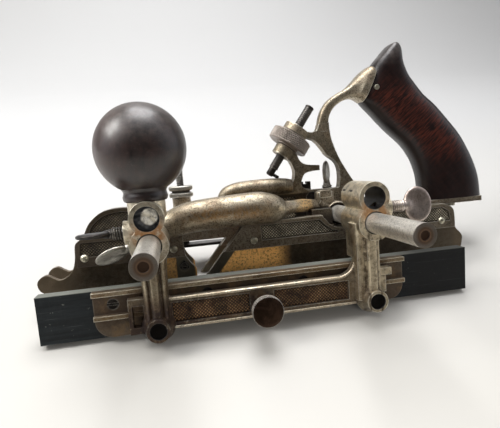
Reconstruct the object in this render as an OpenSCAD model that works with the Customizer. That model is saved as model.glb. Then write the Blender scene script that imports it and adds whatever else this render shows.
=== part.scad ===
// Combination plane: fence, sliding section and main stock on two round arms.
// Every piece is drawn upright, with the soles of the skates at z = 0, the toe towards -x
// and the fence towards -y. The stance module then leans the whole plane back, because
// the fence wood hangs lower than the soles and the plane rests on both.

/* [Arms] */
// Diameter of the two round arms
arm_d = 11.1; // [10.4:0.1:11.6]
// Length of each arm
arm_len = 127; // [121:0.5:131]
// Distance between the arms, centre to centre
arm_pitch = 117.6; // [115:0.2:120]
// Height of the arms above the sole
arm_z = 31.3; // [30.5:0.1:32.2]

/* [Fence casting] */
// Distance between the lower and the upper bore of a fence boss
bore_pitch = 13.4; // [13.2:0.1:15]
// Diameter of the fence bores
fence_bore_d = 12.2; // [11.8:0.1:12.6]
// Wall of the upper fence boss
upper_wall = 2.5; // [2:0.1:3.2]
// Wall of the lower fence boss
lower_wall = 3.4; // [2.8:0.1:3.8]
// Length of the fence bosses
boss_len = 26; // [22:0.5:28]
// Distance from the wood's front face to the front of the bosses
boss_front = 19.6; // [18:0.2:22]
// Height of the web between the two posts
web_h = 17.2; // [15:0.2:18]
// Thickness of the web with its rims
web_t = 3.2; // [2.8:0.1:4]
// Depth of the sunk panels in the web
web_sink = 1.4; // [1:0.1:1.8]
// Width of the front post
front_post_w = 9; // [8:0.2:11]
// Width of the rear post
rear_post_w = 13; // [11:0.2:15]
// Bore of the guide tubes at the foot of the posts
tube_bore_d = 8.6; // [8:0.1:9]
// Outer diameter of the guide tubes
tube_d = 12; // [11.4:0.1:13]
// Length of the guide tubes
tube_len = 13; // [12:0.5:15]

/* [Fence rail and wood] */
// Length of the fence wood
wood_len = 245; // [235:1:255]
// Thickness of the fence wood
wood_t = 8; // [8:0.5:10]
// Height of the fence wood
wood_h = 25.7; // [24:0.1:26.5]
// Length of the metal rail behind the fence casting
rail_len = 173.5; // [166:0.5:190]
// Thickness of the rail's plate
rail_plate_t = 2.6; // [2:0.1:3]
// How far the rail's beads stand proud of the wood
rail_t = 5.5; // [5:0.1:6]
// Height of the rail's beads
bead_h = 2.4; // [2:0.1:3]
// Diameter of the screw that moves the rail
adjust_d = 5; // [4:0.1:6]
// Diameter of that screw's milled head
adjust_head_d = 16.4; // [14:0.2:18]

/* [Knob] */
// Diameter of the ball of the front knob
ball_d = 45.6; // [40:0.2:48]
// Diameter of the knob's neck
neck_d = 16.5; // [14:0.5:19]
// Height of the ball's centre above the upper bore
ball_rise = 34.2; // [33.4:0.2:37]

/* [Main stock and sliding section] */
// Thickness of the two castings
plate_t = 6.4; // [6:0.1:7]
// Distance from the main stock's middle plane to the sliding section's
section_gap = 23.5; // [22.8:0.1:25]
// Thickness of the skates
skate_t = 3.2; // [2.8:0.1:3.6]
// Height of the castings' lower edge above the sole
edge_z = 16.4; // [15:0.2:17.4]
// Depth of the sunk panels in both castings
panel_sink = 1.1; // [0.8:0.1:1.4]
// Pitch of the bed that the cutter lies on, in degrees
bed_angle = 50; // [48:0.5:52]
// Wall of the bosses round the arms
arm_wall = 2.7; // [2.4:0.1:3.2]

/* [Cutter adjuster] */
// Diameter of the knurled adjusting wheel
wheel_d = 27; // [24:0.5:28]
// Thickness of the wheel's rim
wheel_t = 8; // [6:0.5:9.5]
// Diameter of the adjusting rod
rod_d = 6; // [5:0.1:6.6]

/* [Depth gauge] */
// Diameter of the depth gauge's rod
gauge_d = 5; // [4.4:0.1:5.6]
// Diameter of the gauge nut's flanges
gauge_nut_d = 15.6; // [14:0.2:17]

/* [Handle] */
// Thickness of the wooden handle
handle_t = 22; // [19:0.5:25]

/* [Screws] */
// Thread diameter of the thumb screws
thumb_d = 6.8; // [6:0.1:7.2]
// Width of a fence thumb screw's oval head, across its shank
thumb_w = 20; // [17:0.5:22]
// Length of a fence thumb screw's oval head, along its shank
thumb_l = 17; // [15:0.5:18]
// Thickness of a thumb screw's head
thumb_t = 2.8; // [2.2:0.1:3.4]

/* [Clearances] */
// Radial clearance of a shaft in its hole
fit = 0.05; // [0.03:0.01:0.08]
// Gap between pieces of different moving groups
gap = 0.3; // [0.3:0.05:0.5]

/* [Hidden] */
eps = 0.02;
$fn = 48;
arm_x = arm_pitch / 2;

// Places along y, from the main stock's middle plane
body_front = -4.5;
body_back = body_front + plate_t;
skate_front = body_back - skate_t;
slide_mid = -section_gap;
wood_front = -51.5;
wood_back = wood_front + wood_t;
rail_front = wood_front - rail_t;
plate_front = wood_front - rail_plate_t;
web_back = rail_front - gap;
web_front = web_back - web_t;
boss_y = wood_front - boss_front;
boss_back = boss_y + boss_len;
tube_y = web_back - tube_len;
clamp_y = boss_y + 9.6;
knob_y = boss_y + boss_len / 2;
adjust_y = web_front - 16;
slide_boss_y = slide_mid - 17.6;
slide_screw_y = slide_boss_y + 4.9;
rear_boss_y = slide_mid + 8.5;
rear_boss_len = 7;
stock_boss_back = 9;
arm_reach = arm_len - stock_boss_back + 0.5;
clamp_screw_y = 2.5;
gauge_y = body_back + 7.1;
handle_y = body_front + plate_t / 2;

// Heights
upper_z = arm_z + bore_pitch;
clamp_z = arm_z + bore_pitch / 2;
wood_bottom = -18;
wood_top = wood_bottom + wood_h;
web_bottom = wood_bottom + 2.9;
web_top = web_bottom + web_h;
tube_z = wood_bottom + 5.8;
adjust_z = -8;
collar_top = upper_z + 10.3;
ball_z = upper_z + ball_rise;
skate_top = 25.5;
top_z = 32.6;
seat_z = 33.4;
seat_t = 3.5;
pin_z = 21.4;
clamp_seat_z = arm_z + 14.7;

// Fence casting and its screws
rear_post_x = arm_x - 2.2;
panel_edge = 3.3;
adjust_x = -3.4;
block_w = 13.6;
flange_w = 11;
clamp_boss_d = 12;
clamp_out = 12;
clamp_tip = 5.2;
stud_d = 6;
stud_up = 14;
adjust_hole = 6.5;
rail_x = -91.5;
wood_x = -120;
pin_shank_d = 5;
wood_screw_d = 3;
wood_screw_head = 6;
wood_screw_in = 6;

// Bosses of the sliding section
side_lean = 20.7;
side_out = 13.7;
set_angle = 145;
set_out = 14.5;
set_d = 5;

// Skates, their pins and the spurs
mouth_x = -42.1;
bed_x = -32.1;
skate_pin_x = [-97.9, -48, 0.2, 72, 125.2];
pin_d = 2.6;
pin_head_d = 4.6;
spur_x = -42.6;
spur_z = 10.3;
spur_d = 6.4;
spur_t = 0.9;

// Cutter adjuster: places along the rod, counted from the lower bearing
rod_angle = 54;
bearing_at = [28.5, 73.6];
bearing_low = -3;
bearing_top = 3.2;
hub_t = 10;
upper_bearing_t = 4.7;
rod_low = -13.7;
rod_high = 34.7;

// Cutter bolt, depth gauge and handle
bolt_at = [45.5, 42.2];
bolt_d = 5;
bolt_head_d = 8;
bolt_head_t = 2;
gauge_x = -40;
gauge_boss_top = 48.9;
foot_z = 16;
gauge_high = 68.3;
tongue_t = 4;
cross_pin = [91.6, 110.8];
seat_screw_x = 148;

// Lean of the whole plane: fence wood and main skate touch the ground together
lean = atan(-wood_bottom / (body_back - wood_back));

module stance() {
    rotate([-lean, 0, 0]) translate([0, -body_back, 0]) children();
}

// A flat outline in x and z, made solid between two places along y
module slab(front, back) {
    translate([0, back, 0]) rotate([90, 0, 0]) linear_extrude(back - front) children();
}

// Round bars along y and along x
module bar_y(d, front, back) {
    translate([0, back, 0]) rotate([90, 0, 0]) cylinder(d = d, h = back - front);
}

module bar_x(d, from, to) {
    translate([from, 0, 0]) rotate([0, 90, 0]) cylinder(d = d, h = to - from);
}

// Smooth curve through the given points, with n steps between each pair
function blend_at(a, b, c, d, t) =
    0.5 * (2 * b + (c - a) * t + (2 * a - 5 * b + 4 * c - d) * t * t
    + (3 * b - a - 3 * c + d) * t * t * t);
function curve(p, n = 3) =
    let (last = len(p) - 1)
    [for (i = [0:last - 1]) for (k = [0:n - (i == last - 1 ? 0 : 1)])
        blend_at(p[max(i - 1, 0)], p[i], p[i + 1], p[min(i + 2, last)], k / n)];

// Points on a circle from angle a to angle b
function arc(c, r, a, b, n = 8) =
    [for (k = [0:n]) c + r * [cos(a + (b - a) * k / n), sin(a + (b - a) * k / n)]];

function oval(l, w, n = 32) = [for (k = [0:n - 1]) [l / 2 * cos(360 * k / n), w / 2 * sin(360 * k / n)]];

// A milled edge: a circle with n small teeth
function milled(r, depth, n) =
    [for (k = [0:2 * n - 1]) (r - (k % 2) * depth) * [cos(180 * k / n), sin(180 * k / n)]];

// Closed skin over a row of rings that hold the same number of points
module skin(rings) {
    n = len(rings[0]);
    ends = len(rings) - 1;
    polyhedron([for (ring = rings) for (p = ring) p], concat(
        [[for (k = [0:n - 1]) k]],
        [[for (k = [0:n - 1]) ends * n + n - 1 - k]],
        [for (i = [0:ends - 1]) for (k = [0:n - 1])
            let (a = i * n + k, b = i * n + (k + 1) % n) [a, a + n, b]],
        [for (i = [0:ends - 1]) for (k = [0:n - 1])
            let (a = i * n + k, b = i * n + (k + 1) % n) [b, a + n, b + n]]));
}

// A bar with oval rings along a path. A station is [x, y, z, slope, half depth, half height].
module loft(stations, sides = 20) {
    skin([for (s = stations) [for (k = [0:sides - 1])
        let (across = s[4] * cos(360 * k / sides), up = s[5] * sin(360 * k / sides))
        [s[0] - up * sin(s[3]), s[1] + across, s[2] + up * cos(s[3])]]]);
}

// Thumb screw along +x: its seat is at 0, its tip inside and its oval head outside
module thumb_screw(inner, shank, turn, l = thumb_l, w = thumb_w) {
    bar_x(thumb_d, -inner, shank);
    bar_x(thumb_d - 1.6, shank - eps, shank + 3);
    rotate([turn, 0, 0]) translate([shank + 0.8 + l / 2, 0, -thumb_t / 2])
        linear_extrude(thumb_t) polygon(oval(l, w));
}

// Arms: round bars with a centre hole in the front end
module arm() {
    translate([0, 0, arm_z]) difference() {
        bar_y(arm_d, -arm_reach, arm_len - arm_reach);
        bar_y(arm_d * 0.4, -arm_reach - eps, -arm_reach + 1.2);
    }
}

module front_arm() {
    color("#b9b2a4") translate([-arm_x, 0, 0]) arm();
}

module rear_arm() {
    color("#b9b2a4") translate([arm_x, 0, 0]) arm();
}

// Fence casting: a web with two posts, each with a guide tube at its foot and two bores above
module fence_post(x, w) {
    foot = web_front - 4.4;
    over_wood = wood_top + 3;
    translate([x, 0, 0]) {
        slab(foot, web_back) translate([-w / 2, tube_z]) square([w, arm_z - tube_z]);
        slab(foot - 2.4, foot + eps) translate([-1.6, tube_z]) square([3.2, arm_z - tube_z]);
        slab(web_back - eps, boss_back - 3)
            translate([-w / 2 + 0.8, over_wood]) square([w - 1.6, arm_z - over_wood]);
    }
}

// Concave corner of radius r that opens upwards and towards +x (dir 1) or -x (dir -1)
module corner(r, dir) {
    polygon([for (p = concat([[0, 0], [r, 0]], arc([r, r], r, 270, 180))) [p[0] * dir, p[1]]]);
}

module web_outline() {
    translate([-arm_x, web_bottom]) square([arm_x + rear_post_x, web_h]);
    translate([-arm_x + front_post_w / 2 - eps, web_top - eps]) corner(3.4, 1);
    translate([rear_post_x - rear_post_w / 2 + eps, web_top - eps]) corner(9.5, -1);
}

module web_panels() {
    from = -arm_x + front_post_w / 2 + 3;
    to = rear_post_x - rear_post_w / 2 - 4;
    high = web_h - 2 * panel_edge;
    translate([from, web_bottom + panel_edge]) square([adjust_x - block_w / 2 - from, high]);
    translate([adjust_x + block_w / 2, web_bottom + panel_edge])
        square([to - adjust_x - block_w / 2, high]);
}

// Flange with a window beside the front post, and a short ledge beside the rear post
module side_flanges() {
    outer = -arm_x - front_post_w / 2 - flange_w + 1;
    ledge = rear_post_x + rear_post_w / 2 - 1;
    difference() {
        slab(web_front - 1.6, web_back) translate([outer, web_bottom]) square([flange_w, web_h + 1.4]);
        slab(web_front - 3, web_back + 1)
            translate([outer + 2, web_bottom + 3.6]) square([flange_w - 5.4, web_h - 6]);
    }
    slab(web_front, web_back) translate([ledge, web_bottom + 5]) square([6.4, web_h - 6]);
    slab(web_front - 2, web_back) translate([ledge, web_top - 2]) square([9, 4]);
}

module fence_bosses() {
    for (side = [0, 1]) mirror([side, 0, 0]) translate([arm_x, 0, 0]) {
        translate([0, 0, arm_z]) bar_y(fence_bore_d + 2 * lower_wall, boss_y, boss_back);
        translate([0, 0, upper_z]) bar_y(fence_bore_d + 2 * upper_wall, boss_y, boss_back);
        translate([0, 0, tube_z]) bar_y(tube_d, tube_y, web_back);
        translate([0, clamp_y, clamp_z]) bar_x(clamp_boss_d, 1, clamp_out);
    }
}

module fence_bores() {
    for (side = [0, 1]) mirror([side, 0, 0]) translate([arm_x, 0, 0]) {
        translate([0, 0, arm_z]) bar_y(fence_bore_d, boss_y - 1, boss_back + 1);
        translate([0, 0, upper_z]) bar_y(fence_bore_d, boss_y - 1, boss_back + 1);
        translate([0, 0, tube_z]) bar_y(tube_bore_d, tube_y - 1, web_back + 1);
        translate([0, clamp_y, clamp_z]) bar_x(thumb_d + 2 * fit, 3, clamp_out + 1);
    }
}

module fence_casting() {
    color("#a39a88") difference() {
        union() {
            difference() {
                slab(web_front, web_back) web_outline();
                slab(web_front - 1, web_front + web_sink) web_panels();
            }
            side_flanges();
            fence_post(-arm_x, front_post_w);
            fence_post(rear_post_x, rear_post_w);
            fence_bosses();
            translate([-arm_x, knob_y, upper_z])
                cylinder(d = neck_d + 2.6, h = collar_top - upper_z);
        }
        fence_bores();
        translate([adjust_x, 0, adjust_z]) bar_y(adjust_d + 2 * fit, web_front - 2, web_back + 1);
        translate([-arm_x, knob_y, upper_z]) cylinder(d = stud_d + 2 * fit, h = 20);
    }
}

// Front knob: a turned ball on a short neck
module front_knob() {
    ball_r = ball_d / 2;
    neck_r = neck_d / 2;
    top_r = neck_r + 1.4;
    join_z = ball_z - sqrt(ball_r * ball_r - top_r * top_r);
    neck = curve([[neck_r, collar_top], [neck_r - 0.7, (collar_top + join_z) / 2], [top_r, join_z]]);
    ball = arc([0, ball_z], ball_r, -acos(top_r / ball_r), 90, 24);
    color("#3a1d18") translate([-arm_x, knob_y, 0]) difference() {
        rotate_extrude($fn = 64)
            polygon(concat([[0, collar_top]], neck, [for (k = [1:24]) [max(ball[k][0], 0), ball[k][1]]]));
        translate([0, 0, collar_top - 1]) cylinder(d = stud_d + 2 * fit, h = stud_up + 1.5);
    }
}

module knob_stud() {
    from = upper_z + fence_bore_d / 2 + gap;
    color("#8d8578") translate([-arm_x, knob_y, from])
        cylinder(d = stud_d, h = collar_top + stud_up - from);
}

// Slotted plug in the front boss's upper bore
module bore_plug() {
    front = boss_y + 2;
    color("#cfcabb") translate([-arm_x, 0, upper_z]) difference() {
        bar_y(fence_bore_d - 2 * fit, front, front + 7);
        rotate([0, 15, 0]) translate([0, front, 0]) cube([fence_bore_d * 1.2, 3, 1.6], center = true);
    }
}

// Thumb screws that clamp the fence on the arms
module front_fence_screw() {
    color("#77756c") translate([-arm_x - clamp_out, clamp_y, clamp_z])
        rotate([0, 0, 180]) thumb_screw(clamp_out - clamp_tip, 5.4, -6);
}

module rear_fence_screw() {
    color("#b8b2a4") translate([arm_x + clamp_out, clamp_y, clamp_z])
        thumb_screw(clamp_out - clamp_tip, 8.5, 84);
}

// Screw with a milled head that moves the rail against the casting
module fence_adjust_screw() {
    color("#4d4038") translate([adjust_x, 0, adjust_z]) {
        bar_y(adjust_d, adjust_y + 1, wood_front + adjust_hole - gap);
        bar_y(adjust_d + 3.4, adjust_y + 4, web_front - fit);
        slab(adjust_y, adjust_y + 5) polygon(milled(adjust_head_d / 2, 0.35, 36));
    }
}

// Rail: the metal plate that carries the fence wood, with two beads along it
module rail_outline() {
    low = wood_bottom + 0.6;
    r = 9;
    to = rail_x + rail_len;
    polygon(concat([[rail_x, wood_top]], arc([rail_x + r, low + r], r, 180, 270),
        arc([to - r, low + r], r, 270, 360), [[to, wood_top]]));
}

module wood_screw_places() {
    for (x = [rail_x + 10, -32, 22, rail_x + rail_len - 10])
        translate([x, plate_front, wood_top - 7.4]) children();
}

module fence_rail() {
    color("#8f8470") difference() {
        union() {
            slab(plate_front, wood_front) rail_outline();
            slab(rail_front, plate_front + eps)
                translate([rail_x, wood_top - bead_h]) square([rail_len, bead_h]);
            slab(rail_front, plate_front + eps)
                translate([rail_x, wood_bottom + 10.8]) square([rail_len, bead_h]);
            translate([adjust_x, 0, adjust_z]) bar_y(adjust_d + 4, rail_front, plate_front + eps);
        }
        translate([adjust_x, 0, adjust_z]) bar_y(adjust_d + 2 * fit, rail_front - 1, wood_front + 1);
        for (side = [-1, 1])
            translate([side * arm_x, 0, tube_z]) bar_y(pin_shank_d, plate_front - 1, wood_front + 1);
        wood_screw_places() bar_y(wood_screw_d + 2 * fit, -1, rail_plate_t + 1);
        wood_screw_places() bar_y(wood_screw_head + 2 * fit, -1, 1.3);
    }
}

// Pins on the rail that run in the guide tubes
module guide_pins() {
    color("#8d8578") for (side = [-1, 1]) translate([side * arm_x, 0, tube_z]) {
        bar_y(tube_bore_d - 2 * fit, tube_y + 1, plate_front);
        bar_y(pin_shank_d - 2 * fit, plate_front - eps, wood_front - fit);
    }
}

module fence_wood() {
    color("#2c3033") difference() {
        translate([wood_x, wood_front, wood_bottom]) cube([wood_len, wood_t, wood_h]);
        translate([adjust_x, 0, adjust_z]) bar_y(adjust_d + 2 * gap, wood_front - 1, wood_front + adjust_hole);
        wood_screw_places() bar_y(wood_screw_d + 2 * fit, 0, rail_plate_t + wood_screw_in + gap);
    }
}

module wood_screws() {
    color("#6b6257") wood_screw_places() difference() {
        union() {
            bar_y(wood_screw_head, 0.1, 1.3 - fit);
            bar_y(wood_screw_d, 0.5, rail_plate_t + wood_screw_in);
        }
        cube([wood_screw_head * 1.2, 1.4, 0.9], center = true);
    }
}

// Skates: one outline for both castings, from the toe's curl along the top to the heel
module skate_outline() {
    toe = curve([[-112, 0], [-119, 1.6], [-124.2, 4.4], [-125.6, 8.8], [-123.6, 12.1], [-119.8, 13.3],
        [-116.6, 11.4], [-113.2, 9.8], [-109, 11.4], [-105.4, 15.4], [-103.8, 21], [-103.4, skate_top]]);
    heel = curve([[135, skate_top], [135.2, 21], [137.2, 15.4], [140.6, 11.6], [142, 8], [140.4, 0]]);
    polygon(concat(toe, heel));
}

// The mouth, open below: a curved edge ahead of the cutter and the straight bed behind it
function bed_at(z) = bed_x + z / tan(bed_angle);
module mouth(top) {
    ahead = curve([[mouth_x + 5.9, -1], [mouth_x + 6.6, 7.5], [mouth_x + 3.6, 11.5], [mouth_x + 0.6, 17],
        [mouth_x, top]]);
    polygon(concat(ahead, [[bed_at(top), top], [bed_at(-1), -1]]));
}

// Front skate for side -1 and rear skate for side 1, with holes for its pins
module skate(mid, side, spur_face) {
    split = bed_x - 2;
    far = mid + body_back;
    difference() {
        slab(mid + skate_front, far) intersection() {
            difference() {
                skate_outline();
                mouth(skate_top + 1);
            }
            translate([side > 0 ? split : split - 150, -1]) square([side > 0 ? 200 : 150, 40]);
        }
        translate([side * arm_x, 0, arm_z])
            bar_y(arm_d + 2 * arm_wall + 2 * gap, mid + skate_front - 1, far + 1);
        for (x = skate_pin_x) translate([x, mid, pin_z])
            bar_y(pin_d + 2 * fit, skate_front - 1, body_back + 1);
        if (side < 0)
            spur_places(mid, spur_face) {
                bar_y(spur_d + 2 * gap, -1, spur_t + fit);
                bar_y(spur_d * 0.4 + 2 * fit, -1, skate_t + 1);
            }
    }
}

// Domed rivets that hold the skates on the castings
module skate_pins(mid) {
    rise = 1.3;
    ball = (pin_head_d * pin_head_d / 4 + rise * rise) / (2 * rise);
    for (x = skate_pin_x) translate([x, mid + body_front, pin_z]) {
        bar_y(pin_d, 0, plate_t);
        intersection() {
            translate([0, ball - rise, 0]) sphere(r = ball);
            bar_y(pin_head_d, -rise, 0);
        }
    }
}

// Spurs: three-lobed scoring blades in the outer face of each front skate
module spur_places(mid, face) {
    near = face < 0;
    translate([spur_x, mid + (near ? skate_front : body_back), spur_z])
        rotate([0, 0, near ? 0 : 180]) children();
}

module spur() {
    difference() {
        union() {
            bar_y(spur_d * 0.8, 0, spur_t);
            for (k = [0:2]) rotate([0, 120 * k + 30, 0]) slab(0, spur_t)
                translate([0, -0.8]) square([spur_d / 2, 1.6]);
        }
        bar_y(spur_d * 0.4 + 2 * fit, -1, spur_t + 1);
    }
}

module spur_screw() {
    difference() {
        union() {
            bar_y(spur_d * 0.4, -0.5, skate_t);
            bar_y(spur_d * 0.62, -0.9, -fit);
        }
        translate([0, -0.9, 0]) cube([spur_d, 0.9, 0.7], center = true);
    }
}

// Parts of a casting that both have: pads under the pins, the recess for the skates, pin holes
module pin_pads(mid) {
    for (x = skate_pin_x) translate([x, mid, pin_z]) bar_y(pin_head_d + 1, body_front, skate_front);
}

module skate_recess(mid) {
    slab(mid + skate_front - fit, mid + body_back + 1)
        translate([-150, -1]) square([300, skate_top + fit + 1]);
    for (x = skate_pin_x) translate([x, mid, pin_z])
        bar_y(pin_d + 2 * fit, body_front - 1, body_back + 1);
}

// Heel of a casting, from its top edge down to its lower edge
function cast_heel(top) = curve([[126.4, top], [132, top - 2.4], [134.3, 26.2], [134.8, edge_z]]);

// Sliding section: outline with a dip where the rear arm passes over it
module sliding_outline() {
    toe = curve([[-102.2, edge_z], [-102.6, 27], [-101.4, 30.6], [-98.4, top_z]]);
    dip = [for (p = curve([[-14.4, 0], [-12.4, -1.6], [-9.8, -4.9], [-5.6, -6.8], [0, -7.3], [5.6, -6.2],
        [8.8, -2.4], [10.4, 0]])) [arm_x + p[0], p[1] == 0 ? top_z : arm_z + p[1]]];
    polygon(concat(toe, dip, cast_heel(top_z)));
}

module sliding_panels() {
    low = edge_z + 4.8;
    high = top_z - 2.4;
    polygon([[-100.4, low + 1], [-99.4, high], [-68.6, high], [-68.6, low]]);
    polygon([[5, low], [5, high], [arm_x - 16.6, high], [arm_x - 13.4, arm_z - 4.6],
        [arm_x - 9, arm_z - 8], [arm_x - 5, arm_z - 9.2], [arm_x - 5, low]]);
    polygon([[arm_x + 13, low], [arm_x + 13, high], [125.6, high], [130.4, high - 3], [131.4, low]]);
}

// Bulged bar over the mouth, which narrows to a neck and reaches back to the rear boss
module near_bar() {
    y = slide_mid - 5.5;
    back = rear_boss_y + rear_boss_len / 2;
    z = arm_z;
    loft([[-58, y, z + 1.7, 10, 5, 6], [-50, y, z + 4.2, 14, 7.2, 7.4], [-42.5, y, z + 6.6, 12, 8.6, 8.4],
        [-35, y, z + 8.1, 7, 9, 8.9], [-16.5, y, z + 9.2, 3, 9.4, 9.3], [2.5, y, z + 9.7, -3, 9.2, 9.5],
        [9, y + 0.4, z + 9, -8, 8.6, 9.1], [14.5, y + 0.8, z + 8, -11, 7.6, 8.1],
        [18.4, y + 1.2, z + 7.6, -6, 6, 6.2], [20.6, y + 1.8, z + 7.7, -2, 4.4, 4.5],
        [24, y + 3.6, z + 8, 0, 3.8, 3.9], [32, y + 8.6, z + 7.8, -6, 3.8, 3.9],
        [40, back - 3, z + 6.6, -12, 3.6, 4.1], [47, back, z + 4.8, -16, 3.4, 4.6],
        [53, back, z + 3, -16, 3, 4.4]]);
}

module leaning() {
    translate([-arm_x, slide_screw_y, arm_z]) rotate([0, 180 - side_lean, 0]) children();
}

module set_screw_place() {
    translate([arm_x, rear_boss_y + rear_boss_len / 2, arm_z]) rotate([0, -set_angle, 0]) children();
}

module sliding_section() {
    color("#9a907c") difference() {
        union() {
            difference() {
                slab(slide_mid + body_front, slide_mid + body_back) sliding_outline();
                slab(slide_mid + body_front - 1, slide_mid + body_front + panel_sink) sliding_panels();
                skate_recess(slide_mid);
                slab(slide_mid + body_front - 1, slide_mid + body_back + 1) mouth(top_z - 2);
            }
            difference() {
                pin_pads(slide_mid);
                skate_recess(slide_mid);
            }
            near_bar();
            translate([-arm_x, 0, arm_z]) bar_y(arm_d + 2 * arm_wall, slide_boss_y, slide_mid + body_back);
            translate([arm_x, 0, arm_z])
                bar_y(arm_d + 2 * arm_wall, rear_boss_y, rear_boss_y + rear_boss_len);
            slab(slide_mid + body_back - eps, rear_boss_y + rear_boss_len)
                translate([arm_x - 19, skate_top + gap]) square([13, arm_z + 4.3 - skate_top]);
            leaning() bar_x(clamp_boss_d - 2, 4, side_out);
            set_screw_place() bar_x(set_d + 3.4, 4, set_out);
        }
        translate([-arm_x, 0, arm_z]) bar_y(arm_d + 2 * fit, slide_boss_y - 1, slide_mid + body_back + 1);
        translate([arm_x, 0, arm_z])
            bar_y(arm_d + 2 * fit, slide_mid + body_front - 1, rear_boss_y + rear_boss_len + 1);
        leaning() bar_x(thumb_d + 2 * fit, 0, side_out + 1);
        set_screw_place() bar_x(set_d + 2 * fit, 0, set_out + 1);
    }
}

module sliding_front_screw() {
    tip = arm_d / 2 + gap;
    color("#a8a294") leaning() translate([side_out, 0, 0]) thumb_screw(side_out - tip, 0.3, 35, 19, 15);
}

module sliding_set_screw() {
    tip = arm_d / 2 + gap;
    color("#b3ac9c") set_screw_place() difference() {
        bar_x(set_d, tip, set_out - 0.6);
        translate([set_out - 0.6, 0, 0]) cube([1.6, set_d * 1.2, 0.9], center = true);
    }
}

module sliding_front_skate() {
    color("#7d6440") skate(slide_mid, -1, -1);
}

module sliding_rear_skate() {
    color("#7d6440") skate(slide_mid, 1, -1);
}

module sliding_skate_pins() {
    color("#c9c5b4") skate_pins(slide_mid);
}

module sliding_spur() {
    color("#5c5549") spur_places(slide_mid, -1) spur();
}

module sliding_spur_screw() {
    color("#8d8578") spur_places(slide_mid, -1) spur_screw();
}

// Main stock: plate with a hump over the front arm and the leg and seat of the handle behind
module main_outline() {
    hump = curve([[-102.2, edge_z], [-102.6, 27], [-99.8, 35.2], [-95.7, 40.7], [-88.7, 45.3], [-78.4, 46.7],
        [-69.6, 45.4], [-62, 43], [-50, 40.4], [-38, 40.6], [-29, 41.6], [-21, 44.4], [-14, 47.8]]);
    slope = curve([[77.8, 46.4], [80.6, 41.8], [85.4, 36.8], [92, 34]]);
    polygon(concat(hump, [[-8, 48.8], [26, 48.8], [31, 47.4], [76.8, 47.4]], slope, cast_heel(seat_z)));
}

module main_panels() {
    low = edge_z + 4.8;
    polygon(concat([[-68.6, low], [-100.2, low + 1]], curve([[-100.1, 27.6], [-97.4, 34.6], [-93.8, 39],
        [-87.6, 42.8], [-78.4, 44.2], [-70.2, 43.2]]), [[-68.6, 42.6]]));
    polygon([[bed_at(low) + 9, low], [bed_at(44) + 4, 44], [34, 44], [34, low]]);
    polygon([[arm_x + 11, low], [arm_x + 11, 43.4], [76, 43.4], [82, 36.4], [90, seat_z - 5.2],
        [126, seat_z - 5.2], [130.8, 25.4], [131.4, low]]);
}

// The frame above the plate: post, brace and leg round one opening
module frame_outline() {
    post = concat([[22, 44], [22, 48.6]], curve([[26, 48.8], [31.2, 50.4], [33.8, 55], [34.5, 61.4], [31.5, 68.2],
        [28.2, 72.4]]), [[36, 74.4]], curve([[36.8, 71.6], [38.9, 67], [42.9, 64.4], [52, 63.4]]),
        curve([[52, 60], [46, 59.6], [41.4, 58.2], [39.2, 54], [39, 50.4], [42.4, 47.8]]), [[46, 44]]);
    polygon(post);
    leg = concat([[62, 44]], curve([[65.2, 48], [65.9, 53], [65.9, 58], [65, 62], [63, 65.2], [59.6, 67.8],
        [56.6, 70.6], [54, 74.6], [49.4, 79.6], [44, 81.4]], 2), [[38, 82.6], [38, 88], [43.6, 85.8]],
        curve([[48, 85], [51.6, 86.2], [53, 90]]), [[60.2, 91]],
        curve([[60.2, 88], [61.4, 79.3], [65.7, 67.7], [71.5, 57.2], [78, 47]]), [[80, 44]]);
    polygon(leg);
}

// Strap that rises in a bow from the leg and widens to a cup round the handle's front edge
module strap() {
    y = handle_y;
    difference() {
        strap_bar(y);
        handle_form(2 * fit);
    }
}

module strap_bar(y) {
    loft(concat([[56.6, y, 85, 90, 3.2, 3.4]], curve([[56.6, y, 90.4, 88, 3.3, 3.6], [58.2, y, 96.4, 72, 3.5, 3.2],
        [62, y, 102, 46, 3.8, 3], [67.8, y, 106, 26, 4.2, 2.8], [73.8, y, 108.6, 12, 4.8, 3.3],
        [79, y, 111.2, -4, 6.2, 6], [85.2, y, 114.9, -25.5, 8.6, 11.4], [89, y, 113.1, -25.5, 9.4, 11.8]], 2)), 20);
}

// Far side of the plate: bulged bar over the mouth, seen above the near one
module far_bar() {
    y = body_front - 1.6;
    loft(curve([[-16, y + 1.6, 46.4, 24, 3, 2.6], [-12, y, 49.6, 24, 4.6, 4], [-5, y, 51.2, 8, 5.4, 4.8],
        [6, y, 51.9, 1, 5.6, 5], [18, y, 51.9, 0, 5.4, 5], [27, y, 51.6, 0, 4.6, 4.8],
        [32, y + 1, 51.2, 0, 3, 4]], 2), 16);
}

// Frame of the adjusting rod: its own x axis runs up the rod from the lower bearing
module along_rod() {
    translate([bearing_at[0], handle_y, bearing_at[1]]) rotate([0, -rod_angle, 0]) children();
}

upper_bearing = bearing_top + hub_t + 2 * gap;

module main_bosses() {
    for (side = [-1, 1]) translate([side * arm_x, 0, 0]) {
        translate([0, 0, arm_z]) bar_y(arm_d + 2 * arm_wall, body_front, stock_boss_back);
        translate([0, clamp_screw_y, arm_z]) rotate([0, 0, 22.5])
            cylinder(d = clamp_boss_d + 1.4, h = clamp_seat_z - arm_z, $fn = 8);
    }
    along_rod() bar_x(13, bearing_low, bearing_top);
    along_rod() bar_x(17, upper_bearing, upper_bearing + upper_bearing_t);
    translate([gauge_x, gauge_y, 37]) cylinder(d = 12, h = gauge_boss_top - 37);
    translate([gauge_x - 4, body_back - 1, 30]) cube([8, gauge_y - body_back + 1, 11]);
    translate([bolt_at[0], 0, bolt_at[1]]) bar_y(bolt_d + 6, body_back - 1, stock_boss_back + gap);
}

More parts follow.
